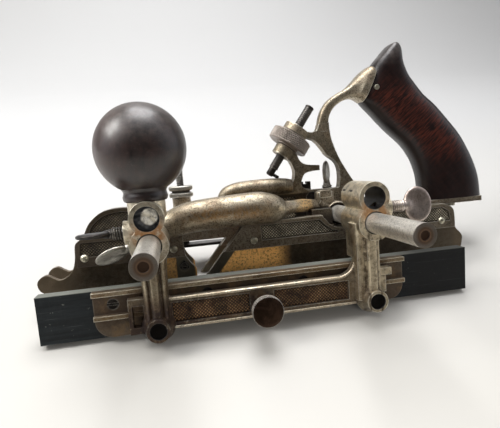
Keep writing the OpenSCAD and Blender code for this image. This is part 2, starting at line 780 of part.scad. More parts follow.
module handle_seat() {
    translate([0, handle_y, 0]) {
        translate([122, -9, seat_z - seat_t]) cube([46, 18, seat_t]);
        slab(-2.2, 2.2) polygon([[126, skate_top + gap], [126, seat_z - 1], [143, seat_z - 1],
            [143, seat_z - 4], [134, skate_top + gap]]);
    }
}

// Tongue that the handle is slotted for, with the hole of the cross pin
module tongue(more) {
    slab(handle_y - tongue_t / 2 - more, handle_y + tongue_t / 2 + more)
        polygon([[84, 109 - more], [97 + more, 105 - more], [99 + more, 114 + more], [86, 119 + more]]);
}

module main_bores() {
    for (side = [-1, 1]) translate([side * arm_x, 0, 0]) {
        translate([0, 0, arm_z]) bar_y(arm_d + 2 * fit, body_front - 1, stock_boss_back + 1);
        translate([0, clamp_screw_y, arm_z]) cylinder(d = thumb_d + 2 * fit, h = 30);
    }
    along_rod() bar_x(rod_d + 2 * fit, bearing_low - 1, upper_bearing + upper_bearing_t + 1);
    translate([gauge_x, gauge_y, 29]) cylinder(d = gauge_d + 2 * fit, h = 27);
    translate([bolt_at[0], 0, bolt_at[1]]) {
        bar_y(bolt_d + 2 * fit, body_front - 1, stock_boss_back + 1);
        bar_y(bolt_head_d + 2 * fit, body_front - 1, body_front + bolt_head_t + fit);
    }
    translate([cross_pin[0], 0, cross_pin[1]]) bar_y(pin_d + 0.6 + 2 * fit, -20, 20);
    translate([seat_screw_x, handle_y, seat_z - 10]) cylinder(d = 4.5 + 2 * fit, h = 12);
}

module main_stock() {
    color("#8f8673") difference() {
        union() {
            difference() {
                slab(body_front, body_back) {
                    main_outline();
                    frame_outline();
                }
                slab(body_front - 1, body_front + panel_sink) main_panels();
                skate_recess(0);
                slab(body_front - 1, body_back + 1) mouth(edge_z + 5);
            }
            difference() {
                pin_pads(0);
                skate_recess(0);
            }
            far_bar();
            strap();
            main_bosses();
            handle_seat();
            tongue(0);
        }
        along_rod() bar_x(wheel_d + 2 * gap + 0.6, bearing_top, upper_bearing);
        main_bores();
    }
}

module main_front_skate() {
    color("#7b6b52") skate(0, -1, 1);
}

module main_rear_skate() {
    color("#7b6b52") skate(0, 1, 1);
}

module main_skate_pins() {
    color("#c9c5b4") skate_pins(0);
}

module main_spur() {
    color("#5c5549") spur_places(0, 1) spur();
}

module main_spur_screw() {
    color("#8d8578") spur_places(0, 1) spur_screw();
}

// Upright thumb screws that clamp the arms in the main stock
module arm_screw() {
    translate([0, clamp_screw_y, clamp_seat_z]) rotate([0, -90, 0])
        thumb_screw(clamp_seat_z - arm_z - arm_d / 2 - gap, 3.2, 50, 15.8, 12);
}

module front_arm_screw() {
    color("#8f8a7e") translate([-arm_x, 0, 0]) arm_screw();
}

module rear_arm_screw() {
    color("#8f8a7e") translate([arm_x, 0, 0]) arm_screw();
}

// Handle: rings between its front and back edges. A station is [front x, z, back x, z, half width].
module handle_form(more) {
    w = handle_t / 2 + more;
    flat = 0.78;
    edges = curve([[106.4, 140, 111.3, 139.8, w - 4.4], [103.2, 137, 113.2, 134.4, w - 2],
        [98.2, 132, 113.8, 126.6, w - 0.8], [91.9, 125, 117.6, 118.4, w - 0.2], [87, 114.9, 122.6, 112.4, w],
        [82.3, 104.9, 128.8, 105.4, w], [91.6, 93.4, 136.8, 98.4, w], [101.9, 82.6, 146.2, 88, w],
        [112.4, 72.8, 154.4, 78.2, w], [119.2, 63.2, 160.6, 68, w], [123.3, 52.4, 165.8, 57.4, w],
        [124.6, 43, 169.4, 46.4, w], [124.9, seat_z, 171, seat_z, w - 0.4]], 2);
    skin([for (s = edges)
        let (mid = [s[0] + s[2], s[1] + s[3]] / 2, wide = [s[2] - s[0], s[3] - s[1]] / 2,
            half = wide * (1 + more / norm(wide)))
        [for (k = [0:23])
            let (c = cos(15 * k), n = sin(15 * k),
                across = s[4] * sign(c) * pow(abs(c), flat), along = sign(n) * pow(abs(n), flat))
            [mid[0] + half[0] * along, handle_y + across, mid[1] + half[1] * along]]]);
}

module handle() {
    color("#35160f") difference() {
        handle_form(0);
        tongue(fit);
        translate([cross_pin[0], 0, cross_pin[1]]) bar_y(pin_d + 0.6 + 2 * fit, -20, 20);
        translate([seat_screw_x, handle_y, seat_z - 1]) cylinder(d = 4.5 + 2 * fit, h = 18);
    }
}

// Cross pin through the tongue, and the screw that comes up through the seat
module handle_screws() {
    color("#8d8578") {
        translate([cross_pin[0], handle_y, cross_pin[1]]) bar_y(pin_d + 0.6, -handle_t / 2 + 0.4, handle_t / 2 - 0.4);
        translate([seat_screw_x, handle_y, seat_z - seat_t - 0.6]) cylinder(d = 4.5, h = seat_t + 17);
        translate([seat_screw_x, handle_y, seat_z - seat_t - 2.4]) difference() {
            cylinder(d = 8.6, h = 2.4 - fit);
            cube([10, 1.2, 1.4], center = true);
        }
    }
}

// Knurled wheel between the two bearings; it turns in place and drives the rod
module adjusting_wheel() {
    rim = bearing_top + gap + (hub_t - wheel_t) / 2;
    color("#a69e90") along_rod() difference() {
        union() {
            translate([rim, 0, 0]) rotate([0, 90, 0]) linear_extrude(wheel_t) polygon(milled(wheel_d / 2, 0.4, 60));
            bar_x(16, bearing_top + gap, bearing_top + gap + hub_t);
        }
        bar_x(rod_d + 2 * fit, bearing_top, upper_bearing);
    }
}

module adjusting_rod() {
    color("#2e2b28") along_rod() {
        bar_x(rod_d, rod_low, rod_high);
        translate([rod_low + 1.7, 0, 0]) rotate([0, 180, 0]) cylinder(d = 3, h = 6);
    }
}

// Bolt and wing nut that hold the cutter against the main stock
module cutter_bolt() {
    color("#6b6257") translate([bolt_at[0], 0, bolt_at[1]]) {
        bar_y(bolt_d, body_front + 1, stock_boss_back + gap + 6);
        bar_y(bolt_head_d, body_front, body_front + bolt_head_t);
    }
}

module cutter_wing_nut() {
    from = stock_boss_back + gap + fit;
    color("#26241f") translate([bolt_at[0], 0, bolt_at[1]]) difference() {
        union() {
            bar_y(bolt_d + 4, from, from + 4.6);
            slab(from + 0.6, from + 4) difference() {
                translate([-4.1, -10.3]) square([8.2, 20.6]);
                translate([-1.2, 8.6]) square([2.4, 3]);
                translate([-1.2, -11.6]) square([2.4, 3]);
            }
        }
        bar_y(bolt_d + 2 * fit, from - 1, from + 6);
    }
}

// Depth gauge: a rod with a shoe behind the main stock, raised by a nut with two flanges
module depth_gauge() {
    color("#8d8578") translate([gauge_x, gauge_y, 0]) {
        translate([0, 0, foot_z]) cylinder(d = gauge_d, h = gauge_high - foot_z);
        translate([-4, body_back + 1.5 - gauge_y, foot_z]) cube([30, 11.2, 2]);
    }
}

module gauge_nut() {
    flange = 2.9;
    r = gauge_nut_d / 2;
    color("#b0aa98") translate([gauge_x, gauge_y, gauge_boss_top + gap]) difference() {
        rotate_extrude() polygon([[0, 0], [r - 0.6, 0], [r, 0.6], [r, flange - 0.6], [r - 0.6, flange],
            [r - 2.2, flange + 0.8], [r - 0.6, flange + 1.6], [r, flange + 2.2], [r, 2 * flange + 1],
            [r - 0.6, 2 * flange + 1.6], [0, 2 * flange + 1.6]]);
        translate([0, 0, -1]) cylinder(d = gauge_d + 2 * fit, h = 12);
    }
}

stance() fence_casting();
stance() front_knob();
stance() knob_stud();
stance() bore_plug();
stance() front_fence_screw();
stance() rear_fence_screw();
stance() fence_adjust_screw();
stance() fence_rail();
stance() guide_pins();
stance() fence_wood();
stance() wood_screws();
stance() sliding_section();
stance() sliding_front_screw();
stance() sliding_set_screw();
stance() sliding_front_skate();
stance() sliding_rear_skate();
stance() sliding_skate_pins();
stance() sliding_spur();
stance() sliding_spur_screw();
stance() main_stock();
stance() main_front_skate();
stance() main_rear_skate();
stance() main_skate_pins();
stance() main_spur();
stance() main_spur_screw();
stance() front_arm();
stance() rear_arm();
stance() front_arm_screw();
stance() rear_arm_screw();
stance() handle();
stance() handle_screws();
stance() adjusting_wheel();
stance() adjusting_rod();
stance() cutter_bolt();
stance() cutter_wing_nut();
stance() depth_gauge();
stance() gauge_nut();
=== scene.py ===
import math

import bmesh
import bpy
import numpy as np
from mathutils import Matrix


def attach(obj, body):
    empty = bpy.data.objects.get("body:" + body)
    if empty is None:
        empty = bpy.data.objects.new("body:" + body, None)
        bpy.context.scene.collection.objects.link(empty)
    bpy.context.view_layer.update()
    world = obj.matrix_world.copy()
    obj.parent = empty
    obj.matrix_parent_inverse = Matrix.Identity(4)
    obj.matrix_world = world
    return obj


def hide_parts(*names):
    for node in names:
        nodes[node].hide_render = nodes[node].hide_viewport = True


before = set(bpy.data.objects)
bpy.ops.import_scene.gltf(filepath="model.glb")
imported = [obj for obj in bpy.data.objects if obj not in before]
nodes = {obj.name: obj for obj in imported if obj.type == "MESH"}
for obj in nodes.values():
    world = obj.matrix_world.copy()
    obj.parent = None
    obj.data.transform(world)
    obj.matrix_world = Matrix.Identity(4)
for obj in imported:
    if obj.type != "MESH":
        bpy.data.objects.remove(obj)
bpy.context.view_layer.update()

print("frame loaded:", len(nodes), "nodes")

# The plane leans back on its fence wood. Pieces are drawn upright in millimetres, x towards
# the heel, y away from the fence, z up, and then leaned as the castings are.
stance = {"lean": math.atan(18 / 45.4), "backFace": 1.9}
armX, armZ = 58.8, 31.3
mainMid, slideMid = -1.3, -23.5
upward, inward = (0, 0, 1), (0, 1, 0)


def toWorld(points):
    # turns by the lean about the main skate's far sole edge; millimetres to metres
    x, y, z = np.moveaxis(np.asarray(points, float), -1, 0)
    y = y - stance["backFace"]
    c, s = math.cos(stance["lean"]), math.sin(stance["lean"])
    return np.stack([x, y * c + z * s, z * c - y * s], -1) / 1000


def smoothPath(rows, steps):
    # a smooth curve through each row: (2b + (c-a)t + (2a-5b+4c-d)t2 + (3b-a-3c+d)t3) / 2
    rows = np.asarray(rows, float)
    padded = np.concatenate([rows[:1], rows, rows[-1:]])
    t = np.linspace(0, 1, steps, endpoint=False)[None, :, None]
    a, b, c, d = (padded[k:len(rows) - 1 + k, None] for k in range(4))
    body = (2 * b + (c - a) * t + (2 * a - 5 * b + 4 * c - d) * t**2 + (3 * b - a - 3 * c + d) * t**3) / 2
    return np.concatenate([body.reshape(-1, rows.shape[1]), rows[-1:]])


def ringAngles(steps):
    return np.linspace(0, 2 * math.pi, steps, endpoint=False)[None, :]


def signedPower(v, power):
    # sgn(v)|v|^power, which squares a circle off
    return np.sign(v) * np.abs(v) ** power


def gridFaces(rows, cols, closeAcross=True):
    # quads between neighbouring rows of a grid of points
    index = np.arange(rows * cols).reshape(rows, cols)
    if closeAcross:
        index = np.concatenate([index, index[:, :1]], 1)
    return np.stack([index[:-1, :-1], index[1:, :-1], index[1:, 1:], index[:-1, 1:]], -1).reshape(-1, 4)


def addObject(name, data):
    made = bpy.data.objects.new(name, data)
    bpy.context.scene.collection.objects.link(made)
    return made


def linkPiece(name, mesh, body, finish, replaces=()):
    # the piece rides on its body, has its finish and may stand for a CAD node
    mesh.materials.append(finishes[finish])
    piece = addObject(name, mesh)
    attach(piece, body)
    if replaces:
        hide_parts(*replaces)


def addPiece(name, parts, body, finish, replaces=(), sharp=50):
    # one mesh of grids that close across; a capped one gets two end faces
    points, faces, count = [], [], 0
    for grid, capped in parts:
        rows, cols = grid.shape[:2]
        points.append(toWorld(grid).reshape(-1, 3))
        faces += (gridFaces(rows, cols) + count).tolist()
        if capped:
            faces += [list(range(count, count + cols)),
                      list(range(count + (rows - 1) * cols, count + rows * cols))[::-1]]
        count += rows * cols
    mesh = bpy.data.meshes.new(name)
    mesh.from_pydata(np.concatenate(points), [], faces)
    work = bmesh.new()
    work.from_mesh(mesh)
    bmesh.ops.remove_doubles(work, verts=work.verts, dist=2e-6)
    bmesh.ops.recalc_face_normals(work, faces=work.faces)
    work.to_mesh(mesh)
    work.free()
    mesh.shade_smooth()
    mesh.set_sharp_from_angle(angle=math.radians(sharp))
    linkPiece(name, mesh, body, finish, replaces)


def axisFrame(origin, along, up=upward):
    # the origin, the axis, then two directions square to it
    along = np.array(along, float) / np.linalg.norm(along)
    side = np.cross(up, along)
    side /= np.linalg.norm(side)
    return np.array(origin, float), along, side, np.cross(along, side)


def turned(axis, profile, steps=64, wave=None):
    # revolved surface: P = origin + h * along + r * (cos a * side + sin a * other); wave is added to r
    origin, along, side, other = axis
    profile = np.asarray(profile, float)
    angle = ringAngles(steps)
    h, r = profile[:, :1], profile[:, 1:2] + 0 * angle
    if wave is not None:
        r = r + wave(h, angle)
    return origin + h[..., None] * along + r[..., None] * (
        np.cos(angle)[..., None] * side + np.sin(angle)[..., None] * other)


def fadeBetween(h, low, high, over):
    # 1 between two heights, 0 beyond them, with a ramp inside each
    return np.clip((h - low) / over, 0, 1) * np.clip((high - h) / over, 0, 1)


def threadProfile(start, end, radius, pitch):
    # rows of a screw: eight to a turn
    h = np.linspace(start, end, max(int((end - start) / pitch * 8), 2))
    return np.stack([h, np.full_like(h, radius)], 1)


def threadWave(pitch, depth, start, end):
    # a helical groove: - depth * (1 - |2 (h / pitch - a / turn) mod 1 - 1|), faded at both ends
    def wave(h, angle):
        phase = (h / pitch - angle / (2 * math.pi)) % 1
        return -depth * (1 - np.abs(2 * phase - 1)) * fadeBetween(h, start, end, pitch)
    return wave


class Field:
    # a node's socket; its * and + are held between 0 and 1
    def __init__(self, socket):
        self.socket, self.tree = socket, socket.id_data

    def math(self, operation, *others, clamp=False):
        given = dict(enumerate((self, *others)))
        return field(self.tree, "Math", given, operation=operation, use_clamp=clamp)

    def vector(self, operation, other):
        return field(self.tree, "VectorMath", {0: self, 1: other}, "Value", operation=operation)

    def __mul__(self, other):
        return self.math("MULTIPLY", other, clamp=True)

    def __add__(self, other):
        return self.math("ADD", other, clamp=True)

    def __sub__(self, other):
        return self.math("SUBTRACT", other)

    def __rsub__(self, number):
        return field(self.tree, "Math", {0: number, 1: self}, operation="SUBTRACT")

    def ramp(self, low, high, start=0, end=1):
        # start where the field is low, end where it is high, held beyond both
        ends = {"From Min": low, "From Max": high, "To Min": start, "To Max": end}
        return field(self.tree, "MapRange", {"Value": self, **ends}, "Result")

    def band(self, low, full, last, high):
        # 1 from full to last, 0 below low and above high
        return self.ramp(low, full) * self.ramp(high, last)

    def mapped(self, **values):
        return field(self.tree, "Mapping", {"Vector": self, **values})

    def noise(self, scale, detail=4, rough=0.55, distort=0):
        values = {"Scale": scale, "Detail": detail, "Roughness": rough, "Distortion": distort}
        return field(self.tree, "TexNoise", {"Vector": self, **values}, "Fac")

    def mix(self, mask, other):
        return blend(mask, self, other)


def addNode(tree, kind, inputs=None, **settings):
    made = tree.nodes.new("ShaderNode" + kind)
    for key, value in settings.items():
        setattr(made, key, value)
    for key, value in (inputs or {}).items():
        if isinstance(value, Field):
            tree.links.new(value.socket, made.inputs[key])
        else:
            made.inputs[key].default_value = value
    return made


def field(tree, kind, inputs=None, output=0, **settings):
    return Field(addNode(tree, kind, inputs, **settings).outputs[output])


def blend(mask, first, second):
    # the first colour where the mask is 0, the second where it is 1
    tree = next(v.tree for v in (mask, first, second) if isinstance(v, Field))
    first, second = (v if isinstance(v, Field) else (*v, 1) for v in (first, second))
    return field(tree, "Mix", {0: mask, 6: first, 7: second}, 2, data_type="RGBA")


def feed(node, **fields):
    # links fields to a node's inputs, named with _ for a space
    for key, value in fields.items():
        value.tree.links.new(value.socket, node.inputs[key.replace("_", " ")])


def newGroup(name, inputs, outputs):
    # a group's tree, its inputs as fields, and the node that its outputs go to
    tree = bpy.data.node_groups.new(name, "ShaderNodeTree")
    for label, value in inputs:
        kind = {1: "Float", 3: "Vector", 4: "Color"}[np.size(value)]
        socket = tree.interface.new_socket(name=label, in_out="INPUT", socket_type="NodeSocket" + kind)
        socket.default_value = value
    for label, kind in outputs:
        tree.interface.new_socket(name=label, in_out="OUTPUT", socket_type="NodeSocket" + kind)
    given = {socket.name: Field(socket) for socket in tree.nodes.new("NodeGroupInput").outputs if socket.name}
    return tree, given, tree.nodes.new("NodeGroupOutput")


def useGroup(tree, group, values={}):
    # a group's outputs as fields, in order; values are for its inputs
    made = addNode(tree, "Group", node_tree=bpy.data.node_groups[group])
    for key, value in values.items():
        made.inputs[key].default_value = (*value, 1) if made.inputs[key].type == "RGBA" else value
    return [Field(socket) for socket in made.outputs]


def place(tree):
    # the point, and how far it lies along, across and up, in upright millimetres
    return useGroup(tree, "uprightPlace")


white = (1, 1, 1, 1)


def buildPlaceGroup():
    # object coordinates turned upright, in millimetres
    tree, _, out = newGroup("uprightPlace", [], [
        ("Place", "Vector"), ("Along", "Float"), ("Across", "Float"), ("Height", "Float")])
    point = field(tree, "TexCoord", output="Object").mapped(
        Rotation=(stance["lean"], 0, 0), Scale=(1000, 1000, 1000), Location=(0, stance["backFace"], 0))
    along, across, height = (Field(s) for s in addNode(tree, "SeparateXYZ", {0: point}).outputs)
    feed(out, Place=point, Along=along, Across=across, Height=height)


def buildWearGroup():
    # old plated metal: cloudy patina, rubbed edges, grime in corners, rust, and dark pits
    tree, given, out = newGroup("agedMetal", [
        ("Bright", white), ("Patina", white), ("Edge", white), ("Patina Amount", 0.5), ("Rust Amount", 0.3),
        ("Edge Wear", 0.7), ("Pits", 0.4), ("Gloss", 0.3), ("Grime Amount", 0.8), ("Rounding", 0.0004),
        ("Grime", (0.026, 0.018, 0.012, 1)), ("Rust", (0.19, 0.075, 0.024, 1))],
        [("Color", "Color"), ("Roughness", "Float"), ("Metallic", "Float"), ("Normal", "Vector")])
    point = place(tree)[0]
    patch = point.noise(0.045, 5, 0.6, 0.4)
    cloud = point.noise(0.4, 6, 0.7)
    speck = point.noise(1.3, 5, 0.7)
    soft = field(tree, "Bevel", {"Radius": given["Rounding"]}, samples=6)
    wide = field(tree, "Bevel", {"Radius": 0.0009}, samples=6)
    same = wide.vector("DOT_PRODUCT", field(tree, "NewGeometry", output="Normal"))
    corner = field(tree, "AmbientOcclusion", {"Distance": 0.007}, "AO", samples=6)
    edge = same.ramp(0.996, 0.88) * cloud.ramp(0.3, 0.5) * corner.ramp(0.45, 0.85) * given["Edge Wear"]
    corner = corner.ramp(0.88, 0.3)
    dull = patch.ramp(0.3, 0.7) * 0.6 + cloud.ramp(0.3, 0.7) * 0.4
    dull = dull.math("ADD", given["Patina Amount"]).ramp(0.35, 1.35)
    stain = point.noise(0.17, 4, 0.6, 0.8).ramp(0.5, 0.66) * 0.5 * given["Patina Amount"]
    rust = point.noise(0.1, 7, 0.7, 0.6).ramp(0.46, 0.7) * given["Rust Amount"]
    rust = rust + corner * patch.ramp(0.4, 0.6) * given["Rust Amount"]
    pits = speck.ramp(0.48, 0.62) * cloud.ramp(0.25, 0.5) * given["Pits"]
    color = blend(dull, given["Bright"], given["Patina"]).mix(stain, given["Grime"]).mix(rust, given["Rust"])
    color = color.mix(pits, given["Grime"]).mix(corner * given["Grime Amount"], given["Grime"])
    height = speck * 0.35 + cloud * 0.5 - pits * 0.6
    feed(out, Color=color.mix(edge, given["Edge"]), Metallic=1 - (rust + corner * 0.6) * 0.7,
         Roughness=given["Gloss"] + dull * 0.16 + (rust + corner * 0.8) * 0.3 + speck * 0.1,
         Normal=field(tree, "Bump", {"Height": height, "Normal": soft, "Strength": 0.4, "Distance": 0.0004}))


def buildGrainGroup():
    # wood: long fibres along one direction, fine pores, and short figure across them
    tree, given, out = newGroup("woodGrain", [
        ("Dark", white), ("Light", white), ("Figure", white), ("Figure Amount", 0.3), ("Turn", (0, 0, 0))],
        [("Color", "Color"), ("Roughness", "Float"), ("Height", "Float")])
    point = place(tree)[0]
    facing = point.mapped(Rotation=given["Turn"])
    lengthwise = facing.mapped(Scale=(0.035, 0.5, 0.5))
    fibre = lengthwise.noise(1, 6, 0.62, 0.5)
    pore = lengthwise.noise(4.2, 3, 0.6)
    figure = facing.mapped(Scale=(0.9, 0.12, 0.12)).noise(1, 3, 0.5, 0.8)
    color = blend(fibre.ramp(0.35, 0.68), given["Dark"], given["Light"])
    streak = figure.ramp(0.5, 0.64) * given["Figure Amount"] * point.noise(0.05, 2).ramp(0.4, 0.6)
    color = color.mix(streak, given["Figure"]).mix(pore.ramp(0.58, 0.72, 0, 0.7), given["Dark"])
    feed(out, Color=color, Roughness=fibre.ramp(0.3, 0.7, 0.28, 0.42),
         Height=fibre - pore.ramp(0.55, 0.7, 0, 0.5))


buildPlaceGroup()
buildWearGroup()
buildGrainGroup()


def startMaterial(name):
    material = bpy.data.materials.new(name)
    material.use_nodes = True
    tree = material.node_tree
    shader = next(n for n in tree.nodes if n.type == "BSDF_PRINCIPLED")
    return material, tree, shader


def metalFinish(name, tint, colors, amounts, others={}):
    # the tint changes the colour by place, and adds a crust, which takes the shine away
    material, tree, shader = startMaterial(name)
    labels = ("Bright", "Patina", "Edge", "Patina Amount", "Rust Amount", "Edge Wear", "Pits", "Gloss")
    values = dict(zip(labels, colors + amounts)) | others
    color, rough, metal, normal = useGroup(tree, "agedMetal", values)
    if tint:
        color, crust = tint(color)
        metal = metal * (1 - crust)
    feed(shader, Base_Color=color, Metallic=metal, Roughness=rough, Normal=normal)
    return material


def woodFinish(name, tint, turn, colors, figure, bump, coat, shine):
    # grain turned to lie as the piece was cut, under a thin coat of old polish
    material, tree, shader = startMaterial(name)
    labels = ("Turn", "Dark", "Light", "Figure", "Figure Amount")
    color, rough, height = useGroup(tree, "woodGrain", dict(zip(labels, (turn, *colors, figure))))
    color, rough = tint(color, rough)
    shader.inputs["Specular IOR Level"].default_value = shine
    shader.inputs["Coat Weight"].default_value = coat
    shader.inputs["Coat Roughness"].default_value = 0.2
    feed(shader, Base_Color=color, Roughness=rough,
         Normal=field(tree, "Bump", {"Height": height, "Strength": bump, "Distance": 0.0004}))
    return material


def nearAxis(along, height, x, z, inner, outer):
    # 1 within inner of a line across the plane at x or -x, 0 beyond outer
    flat = field(along.tree, "CombineXYZ", {"X": along.math("ABSOLUTE"), "Z": height})
    return flat.vector("DISTANCE", (x, 0, z)).ramp(outer, inner)


flawMarks = [(51.1, -48, 48.5), (51.1, -58, 48.5)]  # two casting flaws on the rear upper boss


def fenceTint(color):
    # silvery bosses, lighter on top partly as a painted highlight, a silvery rear post, a dark brown web and
    # toe end, orange rust on the bosses' faces, grime beside the posts' ribs, painted shade in the bores, and
    # the flaws
    point, along, across, height = place(color.tree)
    fine = point.noise(0.35, 6, 0.7)
    # lighter above 22 to 30 mm: partly silvery plating, partly a painted highlight on the faces that look up
    # at the light
    color = color.mix(height.ramp(22, 30) * fine.ramp(0.4, 0.54, 0.2, 0.75), (0.8, 0.73, 0.58))
    rear = along.ramp(46, 54) * height.ramp(-14, -2) * fine.ramp(0.38, 0.54)
    color = color.mix(rear * 0.75, (0.8, 0.68, 0.48))
    brown = height.ramp(8, -3) * along.ramp(60, 44) * fine.ramp(0.64, 0.5, 0.55, 0.95)
    brown = brown * along.ramp(-10, 30, 1, 0.75)
    tone = blend(point.noise(0.12, 5, 0.6).ramp(0.4, 0.62), (0.024, 0.013, 0.009), (0.11, 0.06, 0.027))
    toe = brown * along.ramp(-10, -50) * fine.ramp(0.68, 0.5)
    color = color.mix(brown, tone).mix(toe * 0.8, (0.022, 0.013, 0.012))
    rust = nearAxis(along, height, armX, 38, 6, 10.5) * across.ramp(-66, -68.5)
    rust = rust * point.noise(0.3, 5, 0.65).ramp(0.36, 0.52)
    color = color.mix(rust * 0.85, (0.33, 0.14, 0.035))
    for x, half in ((-armX, 2.9), (57.8, 3.1)):
        far = (along - x).math("ABSOLUTE")
        line = far.band(half - 0.6, half - 0.1, half + 0.5, half + 1.4) * height.ramp(33, 24)
        color = color.mix(line * fine.ramp(0.7, 0.5) * 0.8, (0.045, 0.026, 0.014))
    # painted shade: the bores' walls near-black, where shade falls inside them
    upper, lower, screw = (
        nearAxis(along, height, armX, z, r, r + 0.12)
        for z, r in ((armZ + 13.4, 6.15), (armZ, 6.15), (-12.2, 4.35)))
    bores = upper + lower + screw
    for hole in (upper, lower, screw):
        color = color.mix(hole, (0.012, 0.01, 0.009))
    for x, y, z in flawMarks:
        far = point.mapped(Scale=(0.4, 0.4, 1.6)).vector("DISTANCE", (x * 0.4, y * 0.4, z * 1.6))
        color = color.mix(far.ramp(1.1, 0.6), (0.03, 0.022, 0.016))
    return color, brown * 0.6 + (rust * 0.55 + bores * 0.8)


def castTint(color):
    # a gold-brown band along the near bar, a gold patch on its neck and painted shade behind it, painted
    # shade on the low plates and the toe hump, dark bronze on the curved frame, a black block and painted
    # shade in the recess by the rear arm
    point, along, across, height = place(color.tree)
    band = height.band(35.5, 39, 41.5, 45.5) * along.band(-44, -30, 0, 12)
    band = band * point.noise(0.5, 5, 0.7).ramp(0.36, 0.56)
    neck = along.band(27, 33, 39, 43) * height.band(34.5, 36, 50, 52) * across.ramp(-7, -9)
    gold = neck * point.noise(0.8, 5, 0.75).ramp(0.6, 0.46)
    color = color.mix(band * 0.6, (0.42, 0.22, 0.07)).mix(gold * 0.85, (0.8, 0.52, 0.22))
    # painted shade: near-black on the main stock's face behind the near bar's neck, where shade falls
    shade = along.band(18, 22, 46, 50) * across.ramp(-6.6, -5) * height.ramp(46.4, 45.4)
    # painted shade: the lower castings darkened, below the near bar
    plate = height.ramp(34, 31) * across.ramp(-33.5, -31)
    color = color.mix(shade * 0.9, (0.012, 0.011, 0.011)).mix(plate * 0.62, (0.05, 0.037, 0.027))
    # painted shade: the toe darkened, where the knob and the wing shade it
    toeShade = along.ramp(-58, -72) * across.ramp(-33.5, -31)
    bow = height.band(44, 48, 72, 84) * along.ramp(16, 22)
    bow = bow * point.noise(0.3, 5, 0.7).ramp(0.66, 0.44)
    color = color.mix(toeShade * 0.75, (0.07, 0.052, 0.038)).mix(bow * 0.6, (0.1, 0.078, 0.048))
    block = along.band(37.5, 39, 53.5, 54.5) * across.band(-22.4, -21.4, -8.2, -7.6)
    color = color.mix(block * height.ramp(37, 36.2) * 0.85, (0.02, 0.014, 0.01))
    # painted shade in the bore's mouth round the rear arm
    recessShade = nearAxis(along, height, armX, armZ, 6.9, 7.2) * along.ramp(40, 44)
    recessShade = recessShade * across.band(-17.4, -17.1, -14.7, -14.4)
    return color.mix(recessShade, (0.035, 0.022, 0.014)), plate * 0.3 + (recessShade * 0.8 + gold * 0.4)


def skateTint(color):
    # golden brown with dark specks round the mouth, where it is lit, and dark beyond as painted shade,
    # grey-green on its bevels, darker towards the heel as painted shade, and pale tan on both ends
    point, along, _, height = place(color.tree)
    slant = height.math("MULTIPLY_ADD", -0.839, along)  # the same all along the mouth's slope
    bevel = slant.band(-33.5, -33, -25.2, -24.6) + along.band(-47.4, -47, -37, -36)
    # the gold kept to the lit part round the mouth; beyond it the skate stays dark as painted shade
    gold = along.band(-58, -52, 14, 24) * point.noise(0.9, 5, 0.75).ramp(0.62, 0.5, 0.25, 1)
    gold = gold * (1 - bevel) * along.ramp(-44, -30, 0.6, 1)
    ends = along.ramp(-100, -108) + along.ramp(133, 137)
    color = color.mix(0.35, (0.05, 0.042, 0.03)).mix(bevel * 0.6, (0.24, 0.225, 0.17))
    # darker towards the heel: painted shade
    color = color.mix(gold * 0.95, (0.95, 0.52, 0.16)).mix(along.ramp(60, 78) * 0.35, (0.16, 0.13, 0.1))
    return color.mix(ends * 0.6, (0.2, 0.155, 0.105)), gold * 0.8


def endTint(color):
    # the arms' turned ends: dark steel, a brown middle in rings, and a hole at the centre
    _, along, across, height = place(color.tree)
    end, deep = across.ramp(-117.9, -118.3), across.ramp(-110, -112)
    middle, ring, dot, hole = (
        nearAxis(along, height, armX, armZ, *radii)
        for radii in ((3.4, 4.8), (1.7, 2.9), (0.7, 1.5), (2.2, 2.6)))
    middle, hole = end * middle, deep * hole
    color = color.mix(end * 0.92, (0.2, 0.17, 0.14)).mix(middle * 0.9, (0.085, 0.048, 0.027))
    color = color.mix(end * ring, (0.3, 0.16, 0.075)).mix(end * dot, (0.04, 0.02, 0.01))
    return color.mix(hole, (0.05, 0.026, 0.014)), middle * 0.4 + hole * 0.5


def plugTint(color):
    # a pale cast face off the middle as a painted highlight, leaving painted shade on its left, in dark blued
    # steel
    point, along, _, height = place(color.tree)
    # painted highlight: a pale non-metal patch to the upper right of the plug's face
    paintedHighlight = nearAxis(along, height, armX - 1.3, armZ + 14.3, 3.6, 4.4)
    paintedHighlight = paintedHighlight * point.noise(0.5, 4, 0.6).ramp(0.36, 0.5, 0.45, 1)
    return color.mix(0.75, (0.09, 0.1, 0.115)).mix(paintedHighlight, (0.86, 0.82, 0.72)), paintedHighlight * 0.7


def railTint(color):
    # the plate between the beads is dark brown, in lighter and darker patches
    point, _, across, _ = place(color.tree)
    plate = across.ramp(-55.2, -54.3)
    patch = plate * point.noise(0.12, 5, 0.65).ramp(0.5, 0.66)
    return color.mix(plate * 0.85, (0.05, 0.034, 0.024)).mix(patch * 0.5, (0.2, 0.125, 0.06)), plate * 0.5


def stripTint(color, rough):
    # the fence wood: grey-green top face, scratches along it, small nicks, darker towards the heel
    point, along, _, height = place(color.tree)
    scratch = point.mapped(Scale=(0.03, 0.8, 1.4)).noise(1, 2, 0.4).ramp(0.67, 0.71)
    nick = point.noise(0.55, 3, 0.5).ramp(0.7, 0.74)
    color = color.mix(height.ramp(7.3, 7.65) * 0.75, (0.17, 0.175, 0.15))
    color = color.mix(scratch * 0.3, (0.14, 0.15, 0.15)).mix(nick * 0.5, (0.2, 0.2, 0.18))
    return color.mix(along.ramp(70, 96) * 0.75, (0.005, 0.0045, 0.0042)), rough + 0.25


